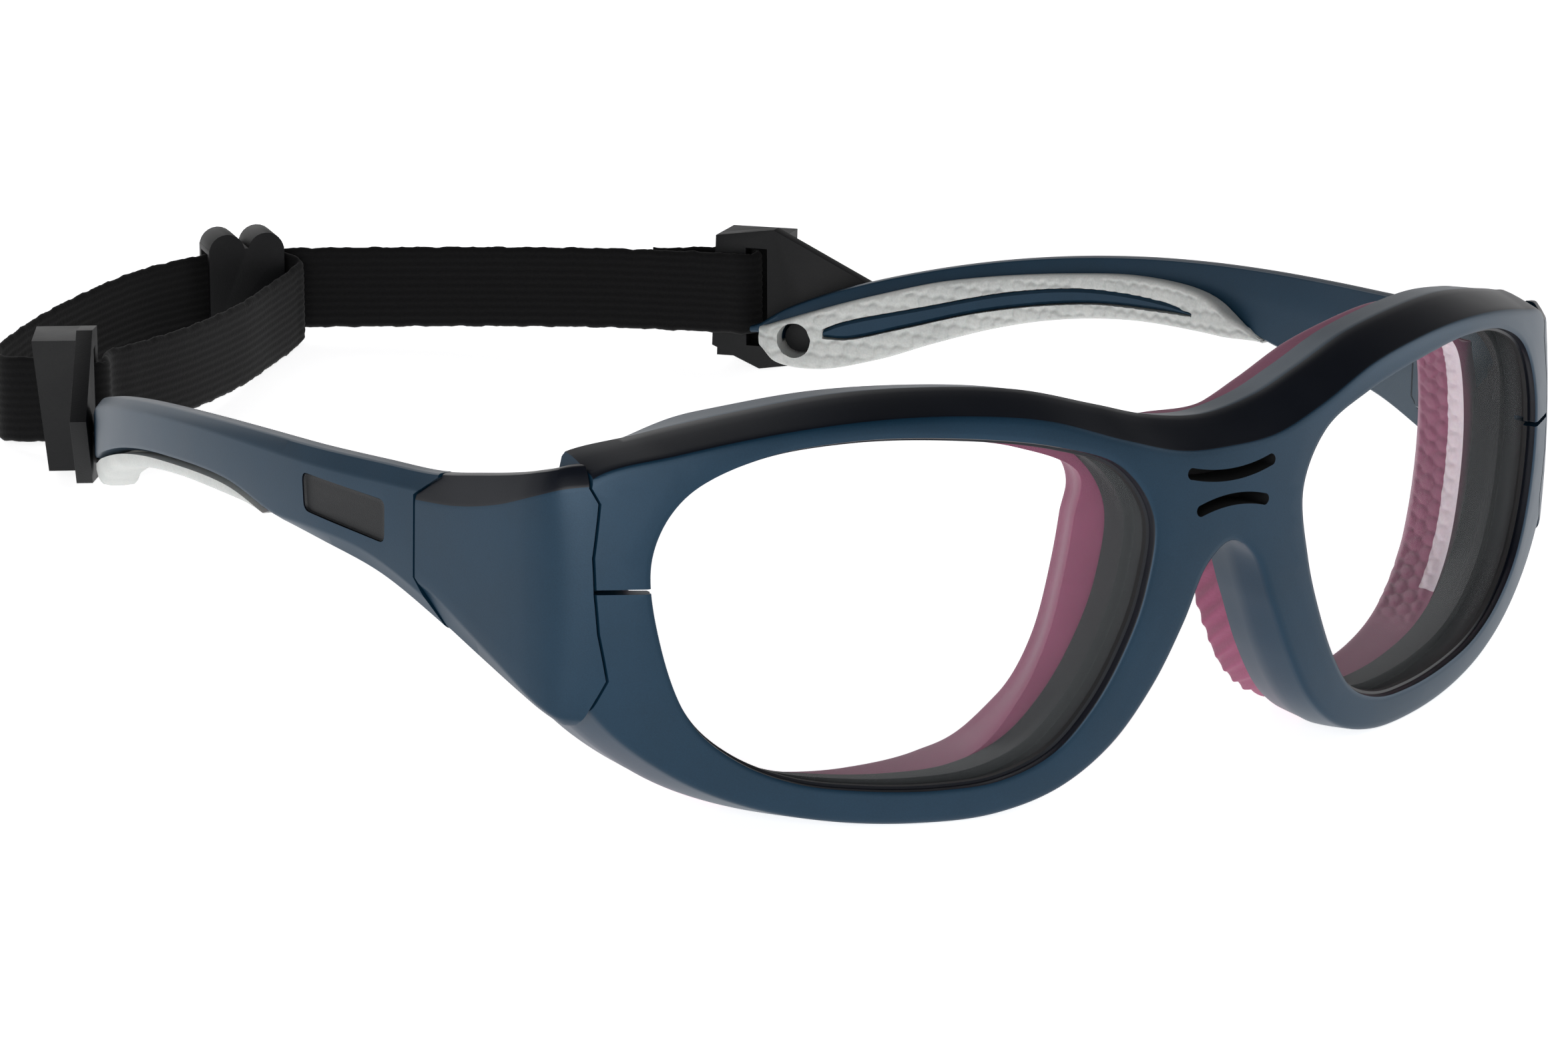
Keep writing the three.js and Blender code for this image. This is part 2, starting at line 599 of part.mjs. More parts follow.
add('front_frame', frontShape, FRAME_BLUE);
add('face_pad', facePad(), PINK_PAD);
for (const [name, side] of SIDES) {
  add(`lens_${name}`, forSide(lens(), side), { ...CLEAR, transparent: true, opacity: 0.3 });
  const rimScrew = uprightScrew(RIM_SCREW_LENGTH, 0.6, 0.8).translate(...RIM_SCREW);
  add(`rim_screw_${name}`, forSide(rimScrew, side), STEEL);
  add(`hinge_block_${name}`, forSide(hingeBlock(side), side), BLACK);
  add(`hinge_screw_${name}`, forSide(hingeScrew(side), side), STEEL);
  add(`temple_flare_${name}`, forSide(flare(side), side), FRAME_BLUE);
  add(`temple_arm_${name}`, forSide(templeArm(), side), FRAME_BLUE);
  add(`badge_plate_${name}`, forSide(badge(), side), BADGE);
  add(`temple_grip_${name}`, forSide(grip(), side), WHITE_GRIP);
  add(`strap_clip_${name}`, forSide(placeClip(clipShape()), side), BLACK);
}
add('strap_run', band(STRAP_RUN, 70), BLACK);
add('strap_loop', band(STRAP_LOOP, 110), BLACK);
add('strap_slider', slider(), BLACK);

export default goggles;
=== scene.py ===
# Sports protective goggles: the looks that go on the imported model.
# Shapes are written in millimetres in the level frame that the goggles are drawn in (temples level,
# wearer's left at +X, front at -Y) and then moved into the row frame with row().
import math
import random

import bmesh
import bpy
import numpy as np
from mathutils import Matrix, Vector
from mathutils.geometry import delaunay_2d_cdt
from mathutils.kdtree import KDTree


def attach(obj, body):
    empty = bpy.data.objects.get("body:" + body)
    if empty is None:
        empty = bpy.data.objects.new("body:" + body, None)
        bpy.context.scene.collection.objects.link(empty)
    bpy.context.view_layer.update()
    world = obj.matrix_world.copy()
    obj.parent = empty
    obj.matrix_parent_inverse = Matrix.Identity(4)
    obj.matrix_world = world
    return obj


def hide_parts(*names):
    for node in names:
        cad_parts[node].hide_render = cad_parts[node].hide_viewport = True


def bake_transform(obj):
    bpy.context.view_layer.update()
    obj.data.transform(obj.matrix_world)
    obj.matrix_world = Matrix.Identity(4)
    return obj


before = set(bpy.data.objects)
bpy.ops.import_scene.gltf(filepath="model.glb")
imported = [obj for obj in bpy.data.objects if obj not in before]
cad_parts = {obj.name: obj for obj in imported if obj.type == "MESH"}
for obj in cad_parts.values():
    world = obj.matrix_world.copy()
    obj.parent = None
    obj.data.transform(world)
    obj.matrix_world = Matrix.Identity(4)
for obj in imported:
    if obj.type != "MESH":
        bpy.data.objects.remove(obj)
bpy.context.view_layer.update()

# ---- how the level goggles stand on the table ----
PITCH = math.radians(5.5)
FORWARD = 90.65
LIFT = 22.62

SIDE_NAME = {1: "left", -1: "right"}

# ---- sizes, in millimetres ----
RADIUS = 106.0  # of the spherical front
MID_Z = 3.4  # height of the sphere's centre
FLANGE = 4.3  # from the front's face to where its straight edge starts
CORNER_THINNING = 0.92  # share of the flange that is gone at the upper outer corners
FRONT_BACK = 8  # from the front's face to its back
PAINTED_SHADE_ABOVE = 7  # height above which the front's upward-facing edge gets near-black painted shade
VENT_HALF = 0.6  # half the height of a vent
SPLIT_HALF = 0.24  # half the height of the split in the outer rim
LENS_NEAR, LENS_FAR = 2, 4.1  # the lens's two faces, behind the front's face
PAD_NEAR, PAD_FAR = 8.35, 14.2  # the pad's front and back, behind the front's face
PAD_CURL = 0.85  # how far the pad's back edge rounds over
PAD_CELL = 1.75  # width of a honeycomb cell of the pad
PAD_RIB = 2.6  # from rib to rib beside the nose
GRIP_CELL = 1.9  # width of a pebble of the grip
JOIN_GAP = 0.14  # half of the fine gap where two mouldings meet
GAP = 0.3  # between a temple's shell and its grip
SHELL = 2.4  # thickness of a temple's shell
GRIP = 1.9  # thickness of a grip
FLARE_Y = 20.4  # the flare's front end
TIP_Y = 138.5  # the temple's tip
HOLE_Y, HOLE_Z, HOLE_R = 133.9, -4.4, 2.1  # the clip's hole in the temple tip
HINGE = (60.2, 34.7, 4.0)  # the middle of the left hinge
LEAN = math.radians(4)  # of the hinge's axis, outward
STRAP_W, STRAP_T = 9.8, 1.1  # the strap's width and thickness
SLIT_Z = 3.8  # height of the split in the outer rim
LENS_INSERT = 0.95  # how far a lens reaches into its groove

# x, z outlines of the left half: the face, the body behind it, and the two openings
FACE_EDGE = [
    (0, 12.9), (6, 13.2), (12.5, 15), (21, 17.8), (29, 19), (37, 19.3), (46, 18.6), (55, 16.9),
    (62, 14.8), (64.3, 11), (64.6, 3.8), (63.8, -5), (61, -10), (55, -15.3), (48.5, -18.6),
    (41, -20.6), (32.5, -21.6), (25, -21.5), (18.5, -19.7), (13.2, -15.9), (9, -10.3),
    (5.8, -4.3), (3, 1.4), (0, 3.3),
]
BODY_EDGE = [
    (0, 15.2), (7, 16.1), (13, 17.8), (21, 20), (30, 21), (39, 21), (47.5, 19.8), (56, 17.9),
    (62.5, 15.8), (64.8, 12), (65, 3.8), (64.3, -5.2), (61.4, -10.6), (55.5, -16), (49, -19.2),
    (41, -21.1), (32.5, -22), (25, -21.9), (18.5, -20.2), (12.9, -16.5), (8.4, -10.6),
    (5.2, -4), (2.6, 1.9), (0, 3.9),
]
LENS_OPENING = [
    (10.2, 7), (11, 0), (13.2, -6), (16.3, -11.5), (20, -15.5), (25, -17.5), (31, -17.8),
    (38, -17.2), (44.5, -15.9), (49.7, -13.4), (53.9, -9.3), (56.7, -1.5), (57.3, 7), (54.5, 12.4),
    (48.3, 15.7), (40, 16.9), (30, 16.4), (20, 14.6), (13.5, 12),
]
PAD_OPENING = [
    (12, 10), (12.8, 5.6), (13.8, 0.5), (15.4, -6.3), (17.8, -12), (22, -17.3), (31, -19.3),
    (40, -18.8), (47.2, -16.6), (52.6, -11.6), (54.6, -4), (55, 4.5), (53, 11.2), (47.3, 14.5),
    (39, 15.7), (29, 15.2), (19, 13.5),
]
# y, outer x, top z, bottom z
STATIONS = [
    (20.4, 62.4, 15.8, -9.9), (21.5, 63.9, 15.7, -9.9), (22.9, 65.1, 15.5, -9.7),
    (25, 65.9, 15.1, -9), (29, 66.3, 14.2, -7.4), (35, 66.7, 13.1, -5), (41.6, 67.1, 12.1, -2.4),
    (50, 67.7, 11.8, 0.4), (60, 68.3, 11.5, 2), (70, 68.2, 11.2, 2.9), (80, 67.6, 10.7, 3.1),
    (90, 66.4, 9.9, 2.8), (100, 64.4, 8.7, 1.5), (110, 61.6, 7, -0.9), (118, 58.4, 5.2, -3.6),
    (125, 54.8, 3.2, -6.3), (131, 51.4, 1, -7.8), (135.5, 48.4, -1.2, -7.4),
    (138.5, 46.3, -3.4, -5.2),
]
# x, z of the line where a flare meets the front's corner
CORNER_JOIN = [
    (61.6, 22), (61.6, 16.7), (62.3, 13.8), (61.7, 12.3), (62.4, 7.1), (62.35, 3.4),
    (62.1, -0.3), (61.3, -5), (62.9, -9), (62.9, -16),
]
# y, z of the line where a flare meets its arm
ARM_JOIN = [(40.5, 22), (40.5, 11.8), (43.6, 9.7), (43.9, 1.4), (39.5, -3.3), (39.5, -20)]
# x, y, z of the middle of the strap
STRAP_RUN = [
    (38.67, 150, 0.1), (40.99, 147.95, 0.1), (43.3, 146.86, 0.1), (45.13, 145.69, 0.1),
    (46.64, 143.57, 0.1), (47.69, 141.87, 0.1), (46.9, 139.82, 0.1), (44.67, 139.81, 0.1),
    (43.04, 142.2, 0.1), (40.94, 145.01, 0.1), (38.35, 148.08, 0.1), (34.5, 152.6, 0.1),
    (24, 162, 0.1), (12, 170.6, 0.2), (2.1, 175.7, 0.5), (-1.1, 177, 0.5),
]
STRAP_LOOP = [
    (-5.77, 177.2, 0.5), (-1.92, 175.79, 0.5), (1.25, 174.54, 0.3), (2.22, 172.53, -0.4),
    (0.31, 171.1, -1), (-6, 166.6, -1.6), (-14, 160.4, -1.9), (-26, 152.8, -1.9),
    (-36.2, 147.6, -1.6), (-40.94, 145.01, -1.3), (-43.04, 142.2, -1.2), (-44.67, 139.81, -1.2),
    (-46.9, 139.82, -1.2), (-47.69, 141.87, -1.2), (-46.64, 143.57, -1.3), (-45.42, 145.89, -1.5),
    (-45.64, 148.22, -1.8), (-47.34, 150.35, -2.1), (-49.52, 153.54, -2.3), (-48.4, 157.2, -2.2),
    (-42, 163, -1.6), (-32, 169.4, -0.7), (-18, 175.9, 0.3), (-6.2, 178.8, 0.5),
]

# ---- the camera, in the level frame ----
CAMERA_AZIMUTH, CAMERA_ELEVATION, CAMERA_ROLL = (math.radians(a) for a in (-37.18, 13.68, -0.23))
CAMERA_TARGET = (-2.86, 69.2, -7.76)
CAMERA_DISTANCE = 636.0
CAMERA_SENSOR = 36
CAMERA_LENS = 136.138


# ---- points and curves ----
def row(points):
    """Level millimetres to row-frame metres."""
    p = np.atleast_2d(np.asarray(points, float))
    c, s = math.cos(PITCH), math.sin(PITCH)
    y = p[:, 1] * c + p[:, 2] * s - FORWARD
    z = -p[:, 1] * s + p[:, 2] * c + LIFT
    return np.stack([p[:, 0], y, z], 1) / 1000


def turn(v):
    """A direction from the level frame to the row frame."""
    c, s = math.cos(PITCH), math.sin(PITCH)
    return Vector((v[0], v[1] * c + v[2] * s, -v[1] * s + v[2] * c))


def catmull(points, closed, steps=24):
    """Dense centripetal Catmull-Rom polyline through the points."""
    p = [np.array(q, float) for q in points]
    if closed:
        p = [p[-1], *p, p[0], p[1]]
    else:
        p = [2 * p[0] - p[1], *p, 2 * p[-1] - p[-2]]
    out = []
    for k in range(1, len(p) - 2):
        a, b, c, d = p[k - 1:k + 3]
        t0, t1, t2 = (max(np.linalg.norm(v - u) ** 0.5, 1e-6) for u, v in ((a, b), (b, c), (c, d)))
        m1 = ((b - a) / t0 - (c - a) / (t0 + t1) + (c - b) / t1) * t1
        m2 = ((c - b) / t1 - (d - b) / (t1 + t2) + (d - c) / t2) * t1
        for i in range(steps):
            t = i / steps
            out.append(
                (2 * t**3 - 3 * t**2 + 1) * b + (t**3 - 2 * t**2 + t) * m1
                + (-2 * t**3 + 3 * t**2) * c + (t**3 - t**2) * m2
            )
    if not closed:
        out.append(p[-2])
    return np.array(out)


def resample(line, count, closed):
    """The same line with count points at equal distances."""
    pts = np.vstack([line, line[:1]]) if closed else line
    along = np.concatenate([[0], np.cumsum(np.linalg.norm(np.diff(pts, axis=0), axis=1))])
    want = np.linspace(0, along[-1], count + 1)[:-1] if closed else np.linspace(0, along[-1], count)
    return np.stack([np.interp(want, along, pts[:, i]) for i in range(pts.shape[1])], 1)


def offset(loop, distance):
    """Moves a closed loop outward by a distance."""
    area = np.sum(loop[:, 0] * np.roll(loop[:, 1], -1) - np.roll(loop[:, 0], -1) * loop[:, 1])
    along = np.roll(loop, -1, 0) - np.roll(loop, 1, 0)
    along /= np.linalg.norm(along, axis=1)[:, None]
    out = np.stack([along[:, 1], -along[:, 0]], 1) * np.sign(area)
    return loop + out * distance


def whole(half, count):
    back = [(-x, z) for x, z in reversed(half[1:-1])]
    return resample(catmull([*half, *back], True), count, True)


def face_y(x, z, behind):
    """The spherical front, some way behind its face."""
    inside = (RADIUS - behind) ** 2 - x * x - (z - MID_Z) ** 2
    return RADIUS - np.sqrt(np.maximum(inside, 1.0))


def on_face(loop, behind):
    return np.stack([loop[:, 0], face_y(loop[:, 0], loop[:, 1], behind), loop[:, 1]], 1)


def front_depth(loop, behind):
    """The front gets thinner towards its upper outer corners."""
    corner = smooth(np.abs(loop[:, 0]), 49, 60) * smooth(loop[:, 1], 5, 10)
    extra = np.maximum(behind - FLANGE, 0)
    return on_face(loop, behind - CORNER_THINNING * extra * corner)


def smooth(value, low, high):
    t = np.clip((value - low) / (high - low), 0, 1)
    return t * t * (3 - 2 * t)


STATION_LINE = {
    column: catmull([(s[0], s[column]) for s in STATIONS], False) for column in (1, 2, 3)
}


def station(column, y):
    line = STATION_LINE[column]
    return np.interp(y, line[:, 0], line[:, 1])


# ---- mesh building ----
class Part:
    """Collects rings and faces of one piece, in level millimetres."""

    def __init__(self):
        self.points = []
        self.faces = []
        self.kinds = []

    def ring(self, points):
        start = len(self.points)
        self.points.extend([tuple(float(v) for v in p) for p in points])
        return list(range(start, len(self.points)))

    def strip(self, a, b, kind=0):
        """Joins two rings; kind is one look for all the faces, or a list with each face's own."""
        for i in range(len(a)):
            j = (i + 1) % len(a)
            self.faces.append((a[i], a[j], b[j], b[i]))
            self.kinds.append(kind[i] if isinstance(kind, list) else kind)

    def rings(self, loops, kinds=None):
        made = [self.ring(loop) for loop in loops]
        for k in range(len(made) - 1):
            self.strip(made[k], made[k + 1], kinds[k] if kinds else 0)
        return made

    def tube(self, loops, kinds=None, end=0):
        """Rings with both ends closed by a fan."""
        made = self.rings(loops, kinds)
        self.fan(made[0], end)
        self.fan(made[-1], end)

    def block(self, low, high, kind=0):
        """Two rings with both ends closed by one flat face."""
        a, b = self.rings([low, high], [kind])
        self.faces += [tuple(a), tuple(b)]
        self.kinds += [kind, kind]

    def fan(self, ring, kind=0):
        centre = np.mean([self.points[i] for i in ring], 0)
        mid = self.ring([centre])[0]
        for i in range(len(ring)):
            self.faces.append((ring[i], ring[(i + 1) % len(ring)], mid))
            self.kinds.append(kind)

    def sheet(self, outer, holes, lift, spacing, kind=0):
        """Fills between flat loops with an even net of triangles; lift makes them 3-D."""
        loops = [outer, *holes]
        flat = [tuple(p) for loop in loops for p in loop]
        edges = []
        start = 0
        for loop in loops:
            n = len(loop)
            edges += [(start + i, start + (i + 1) % n) for i in range(n)]
            start += n
        low, high = outer.min(0), outer.max(0)
        border = np.array(flat)
        inner = []
        rows = int((high[1] - low[1]) / (spacing * 0.866)) + 1
        for r in range(rows):
            z = low[1] + r * spacing * 0.866
            for q in range(int((high[0] - low[0]) / spacing) + 1):
                x = low[0] + (q + 0.5 * (r % 2)) * spacing
                if inside(outer, x, z) and not any(inside(h, x, z) for h in holes):
                    if np.min(np.hypot(border[:, 0] - x, border[:, 1] - z)) > spacing * 0.55:
                        inner.append((x, z))
        got = delaunay_2d_cdt([Vector(p) for p in flat + inner], edges, [], 0, 1e-7)
        spots = np.array([tuple(v) for v in got[0]])
        ring = self.ring(lift(spots))
        for f in got[2]:
            c = spots[list(f)].mean(0)
            if inside(outer, *c) and not any(inside(h, *c) for h in holes):
                self.faces.append(tuple(ring[i] for i in f))
                self.kinds.append(kind)

    def build(self, name, looks, side=1, sharp=38, weld=1e-6):
        points = np.array(self.points)
        points[:, 0] *= side
        mesh = bpy.data.meshes.new(name)
        mesh.from_pydata([tuple(p) for p in row(points)], [], self.faces)
        mesh.polygons.foreach_set("material_index", self.kinds)
        for look in looks:
            mesh.materials.append(look)
        obj = bpy.data.objects.new(name, mesh)
        bpy.context.scene.collection.objects.link(obj)
        clean(obj, sharp, weld)
        return obj


def inside(loop, x, z):
    a, b = loop, np.roll(loop, -1, 0)
    over = (a[:, 1] > z) != (b[:, 1] > z)
    with np.errstate(divide="ignore", invalid="ignore"):
        cross = a[:, 0] + (z - a[:, 1]) * (b[:, 0] - a[:, 0]) / (b[:, 1] - a[:, 1])
    return bool(np.sum(over & (x < cross)) % 2)


def clean(obj, sharp=38, weld=1e-6):
    """Welds, turns faces outward and marks the edges that stay crisp."""
    bm = bmesh.new()
    bm.from_mesh(obj.data)
    bmesh.ops.remove_doubles(bm, verts=bm.verts, dist=weld)
    loose = [f for f in bm.faces if f.calc_area() < 1e-14]
    bmesh.ops.delete(bm, geom=loose, context="FACES_ONLY")
    bmesh.ops.recalc_face_normals(bm, faces=bm.faces)
    for f in bm.faces:
        f.smooth = True
    for e in bm.edges:
        e.smooth = e.calc_face_angle(0) < math.radians(sharp)
    bm.to_mesh(obj.data)
    bm.free()


def bake_modifiers(obj):
    """Keeps the mesh that the modifiers make, and drops the modifiers."""
    deps = bpy.context.evaluated_depsgraph_get()
    mesh = bpy.data.meshes.new_from_object(obj.evaluated_get(deps))
    obj.modifiers.clear()
    obj.data = mesh


def carve(obj, cutters):
    for cutter in cutters:
        cut = obj.modifiers.new("cut", "BOOLEAN")
        cut.operation = "DIFFERENCE"
        cut.solver = "MANIFOLD"
        cut.object = cutter
    bpy.context.view_layer.update()
    bake_modifiers(obj)
    for cutter in cutters:
        bpy.data.objects.remove(cutter)


def prism(outline, axis, low, high, side=1, kind=0):
    """A closed prism for cutting: outline in the two other axes, in level millimetres."""
    part = Part()
    ends = [[np.insert(np.array(p, float), axis, v) for p in outline] for v in (low, high)]
    part.block(*ends, kind)
    return part.build("cutter", [None] * (kind + 1), side)


def corners_round(corners, radii, steps=3):
    """A closed outline with its corners turned into arcs of the same number of points."""
    out = []
    count = len(corners)
    for i in range(count):
        p = np.array(corners[i], float)
        a = np.array(corners[i - 1], float) - p
        b = np.array(corners[(i + 1) % count], float) - p
        la, lb = np.linalg.norm(a), np.linalg.norm(b)
        reach = min(radii[i], 0.45 * la, 0.45 * lb)
        start, end = p + a / la * reach, p + b / lb * reach
        for k in range(steps + 1):
            t = k / steps
            out.append((1 - t) ** 2 * start + 2 * t * (1 - t) * p + t * t * end)
    return out


def body_of(obj, body, slot, *nodes):
    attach(obj, body)
    if nodes:
        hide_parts(*nodes)
    return obj


# ---- materials ----
def linear(*rgb):
    return tuple(((c / 255 + 0.055) / 1.055) ** 2.4 if c > 10 else c / 3294.6 for c in rgb) + (1,)


def finish(name, dark, light, rough, grain, bump=0.0, fine=None, wave=None, **sockets):
    """A surface of its own: colour drifts between two tones, with grain in gloss and relief.

    grain and fine are sizes in millimetres, rough the lowest and highest roughness.
    """
    look = bpy.data.materials.new(name)
    look.use_nodes = True
    nodes, links = look.node_tree.nodes, look.node_tree.links
    shader = nodes["Principled BSDF"]
    place = nodes.new("ShaderNodeTexCoord").outputs["Object"]

    def noise(size, detail):
        node = nodes.new("ShaderNodeTexNoise")
        node.inputs["Scale"].default_value = 1000 / size
        node.inputs["Detail"].default_value = detail
        links.new(place, node.inputs["Vector"])
        return node.outputs["Fac"]

    coarse = noise(grain, 3)
    small = noise(fine or grain / 12, 2)
    mixed = nodes.new("ShaderNodeMath")
    mixed.operation = "ADD"
    links.new(coarse, mixed.inputs[0])
    links.new(small, mixed.inputs[1])
    tone = nodes.new("ShaderNodeMapRange")
    tone.inputs["From Min"].default_value = 0.7
    tone.inputs["From Max"].default_value = 1.3
    links.new(mixed.outputs[0], tone.inputs["Value"])
    ramp = nodes.new("ShaderNodeValToRGB")
    ramp.color_ramp.elements[0].color = linear(*dark)
    ramp.color_ramp.elements[1].color = linear(*light)
    links.new(tone.outputs[0], ramp.inputs["Fac"])
    links.new(ramp.outputs["Color"], shader.inputs["Base Color"])
    gloss = nodes.new("ShaderNodeMapRange")
    gloss.inputs["To Min"].default_value, gloss.inputs["To Max"].default_value = rough
    links.new(coarse, gloss.inputs["Value"])
    links.new(gloss.outputs[0], shader.inputs["Roughness"])
    height = small
    if wave:
        band = nodes.new("ShaderNodeTexWave")
        band.bands_direction = wave[0]
        band.inputs["Scale"].default_value = 1000 / wave[1] / 20
        band.inputs["Distortion"].default_value = 1.5
        links.new(place, band.inputs["Vector"])
        height = band.outputs["Fac"]
    if bump:
        relief = nodes.new("ShaderNodeBump")
        relief.inputs["Strength"].default_value = bump
        relief.inputs["Distance"].default_value = 0.00005
        links.new(height, relief.inputs["Height"])
        links.new(relief.outputs[0], shader.inputs["Normal"])
    for socket, value in sockets.items():
        shader.inputs[socket.replace("_", " ")].default_value = value
    return look


BLUE = finish(
    "satin_blue", (11, 43, 62), (15, 49, 70), (0.36, 0.46), 9, bump=0.12, fine=0.14,
    Metallic=0.35, Specular_IOR_Level=0.35, Coat_Weight=0.08, Coat_Roughness=0.35,
)
# Near-black navy copy of the frame's blue: painted shade, the darkness that upward-facing bevels
# show under a dark overhead.
PAINTED_SHADE_NAVY = finish(
    "painted_shade_navy", (6, 10, 19), (9, 14, 24), (0.36, 0.46), 9, bump=0.1, fine=0.14,
    Specular_IOR_Level=0.3, Coat_Weight=0.1, Coat_Roughness=0.35,
)
# Near-black painted shade for the vents and for the groove and back wall of the lens openings,
# which are the frame's blue in shade.
PAINTED_SHADE_BLACK = finish("vent_painted_shade", (6, 7, 9), (9, 10, 12), (0.6, 0.7), 4, bump=0.1)
PINK = finish(
    "soft_pink", (132, 50, 88), (146, 62, 101), (0.5, 0.6), 6, bump=0.2, fine=0.3,
    Subsurface_Weight=0.08, Subsurface_Scale=0.001,
)
PALE = finish(
    "pale_edge", (222, 205, 214), (236, 222, 229), (0.45, 0.55), 5, bump=0.15, fine=0.3,
    Subsurface_Weight=0.15, Subsurface_Scale=0.001,
)
WHITE = finish(
    "grip_white", (176, 179, 177), (196, 198, 195), (0.5, 0.62), 5, bump=0.2, fine=0.25,
    Subsurface_Weight=0.05, Subsurface_Scale=0.0006,
)
BLACK = finish(
    "clip_black", (7, 8, 10), (12, 13, 15), (0.5, 0.62), 4, bump=0.4, fine=0.2,
    Specular_IOR_Level=0.25,
)
HINGE_BLACK = finish("hinge_black", (14, 15, 17), (20, 21, 24), (0.35, 0.5), 3, bump=0.2)
STEEL = finish(
    "screw_steel", (150, 152, 155), (172, 174, 177), (0.22, 0.34), 1.5, bump=0.15, fine=0.1,
    Metallic=1.0,
)
BADGE = finish(
    "badge_grey", (22, 23, 25), (32, 33, 35), (0.4, 0.55), 2.5, bump=0.5, fine=0.12, Metallic=0.2,
    Specular_IOR_Level=0.3,
)
STRAP = finish(
    "woven_black", (4, 4, 5), (10, 10, 11), (0.85, 0.97), 1.2, bump=0.8, fine=0.35,
    Sheen_Weight=0.06, Sheen_Roughness=0.5, Specular_IOR_Level=0.2,
)
CLEAR = finish(
    "lens_clear", (225, 234, 238), (236, 243, 246), (0.02, 0.04), 30, IOR=1.52, Alpha=0.03,
)
FLOOR = finish("floor_pale", (246, 246, 247), (250, 250, 251), (0.7, 0.8), 60)


# ---- front ----
def front_shell():
    face, body = whole(FACE_EDGE, 560), whole(BODY_EDGE, 560)
    hole = resample(catmull(LENS_OPENING, True), 260, True)
    part = Part()
    # the outside, from the face back: a loop and how far it lies behind the face
    steps = [
        (offset(face, -0.8), 0), (offset(face, -0.36), 0.05), (offset(face, -0.12), 0.17),
        (face, 0.36),
    ]
    for share, behind in ((0.14, 0.8), (0.38, 1.6), (0.64, 2.5), (0.86, 3.4), (1, FLANGE)):
        steps.append((face * (1 - share) + body * share, behind))
    steps += [
        (offset(body, -0.12), 5.2), (offset(body, -0.25), 6.6), (offset(body, -0.4), FRONT_BACK),
    ]
    # Kind 1 paints near-black shade on the upward-facing bevel above the height limit; lower down
    # the bevel stays blue.
    kinds = [0, 0, 1, 1, 1, 1, 1, 1, 0, 0, 0]
    part.rings(
        [front_depth(loop, behind) for loop, behind in steps],
        [[kind if z > PAINTED_SHADE_ABOVE else 0 for z in body[:, 1]] for kind in kinds],
    )
    # the lens opening, from the face back: growth outward, and how far behind the face
    rim = [
        (1, 0), (0.66, 0.06), (0.44, 0.2), (0.36, 0.42), (0.32, 0.95), (0.06, 1.08), (0, 1.55),
        (1.3, 1.7), (1.3, 4.4), (0.2, 4.6), (0.2, 5.6), (0.6, 5.8), (0.6, FRONT_BACK),
    ]
    for side in (1, -1):
        loops = []
        for out, behind in rim:
            loop = offset(hole, out)
            loop[:, 0] *= side
            loops.append(front_depth(loop, behind))
        # The opening's inner wall takes the navy painted shade, and its groove and back wall the
        # near-black painted shade, as recesses in shade.
        part.rings(loops, [0, 0, 1, 1, 1] + [2] * 7)
    ends = ((1, offset(face, -0.8), 0, 1.6), (0.6, offset(body, -0.4), FRONT_BACK, 2.4))
    for grow, outer, behind, spacing in ends:
        inner = offset(hole, grow)
        mirror = inner * np.array([-1, 1])
        part.sheet(outer, [inner, mirror], lambda p, b=behind: front_depth(p, b), spacing)
    obj = part.build("front_shell", [BLUE, PAINTED_SHADE_NAVY, PAINTED_SHADE_BLACK])

    cutters = []
    for side in (1, -1):
        corner = [(x - 0.1, z) for x, z in CORNER_JOIN] + [(90, -16), (90, 22)]
        cutters.append(prism(corner, 1, -10, 60, side))
        low, high = SLIT_Z - SPLIT_HALF, SLIT_Z + SPLIT_HALF
        slit = [(57, low), (90, low), (90, high), (57, high)]
        cutters.append(prism(slit, 1, 0, 21.5, side))
    for end, middle, reach in ((10.7, 10.0, 5.1), (6.9, 7.5, 4.1)):
        line = []
        for k in range(25):
            x = reach * (k / 12 - 1)
            line.append((x, middle + (end - middle) * (x / reach) ** 2))
        line = np.array(line)
        upper, lower = line + (0, VENT_HALF), line - (0, VENT_HALF)
        ends = [math.pi / 2 - math.pi * k / 8 for k in range(1, 8)]
        right = [line[-1] + VENT_HALF * np.array([math.cos(a), math.sin(a)]) for a in ends]
        left = [line[0] - VENT_HALF * np.array([math.cos(a), math.sin(a)]) for a in ends]
        outline = [*upper, *right, *lower[::-1], *left]
        # Kind 2 gives the vent walls the near-black painted shade of a narrow recess.
        cutters.append(prism(outline, 1, -5, 4.2, kind=2))
    carve(obj, [*cutters, table_slab()])
    clean(obj)
    return body_of(obj, "front", "frame_blue", "front_frame")


def table_slab():
    """The space below the table's top, in the level frame."""
    part = Part()
    c, s = math.cos(PITCH), math.sin(PITCH)
    loops = []
    for z in (-20, 0.002):
        ring = []
        for x, y in ((-90, -120), (90, -120), (90, 60), (-90, 60)):
            dy, dz = y + FORWARD - 60, z - LIFT
            ring.append((x, dy * c - dz * s, dy * s + dz * c))
        loops.append(ring)
    part.block(*loops)
    return part.build("cutter", [])


def lens(side):
    outline = offset(resample(catmull(LENS_OPENING, True), 240, True), LENS_INSERT)
    part = Part()
    steps = [(-0.12, LENS_NEAR), (0, 2.12), (0, 3.98), (-0.12, LENS_FAR)]
    part.rings([on_face(offset(outline, out), behind) for out, behind in steps])
    for behind in (LENS_NEAR, LENS_FAR):
        part.sheet(offset(outline, -0.12), [], lambda p, b=behind: on_face(p, b), 2.2)
    obj = part.build(f"lens_plate_{SIDE_NAME[side]}", [CLEAR], side)
    return body_of(obj, "front", "lens_clear", f"lens_{SIDE_NAME[side]}")


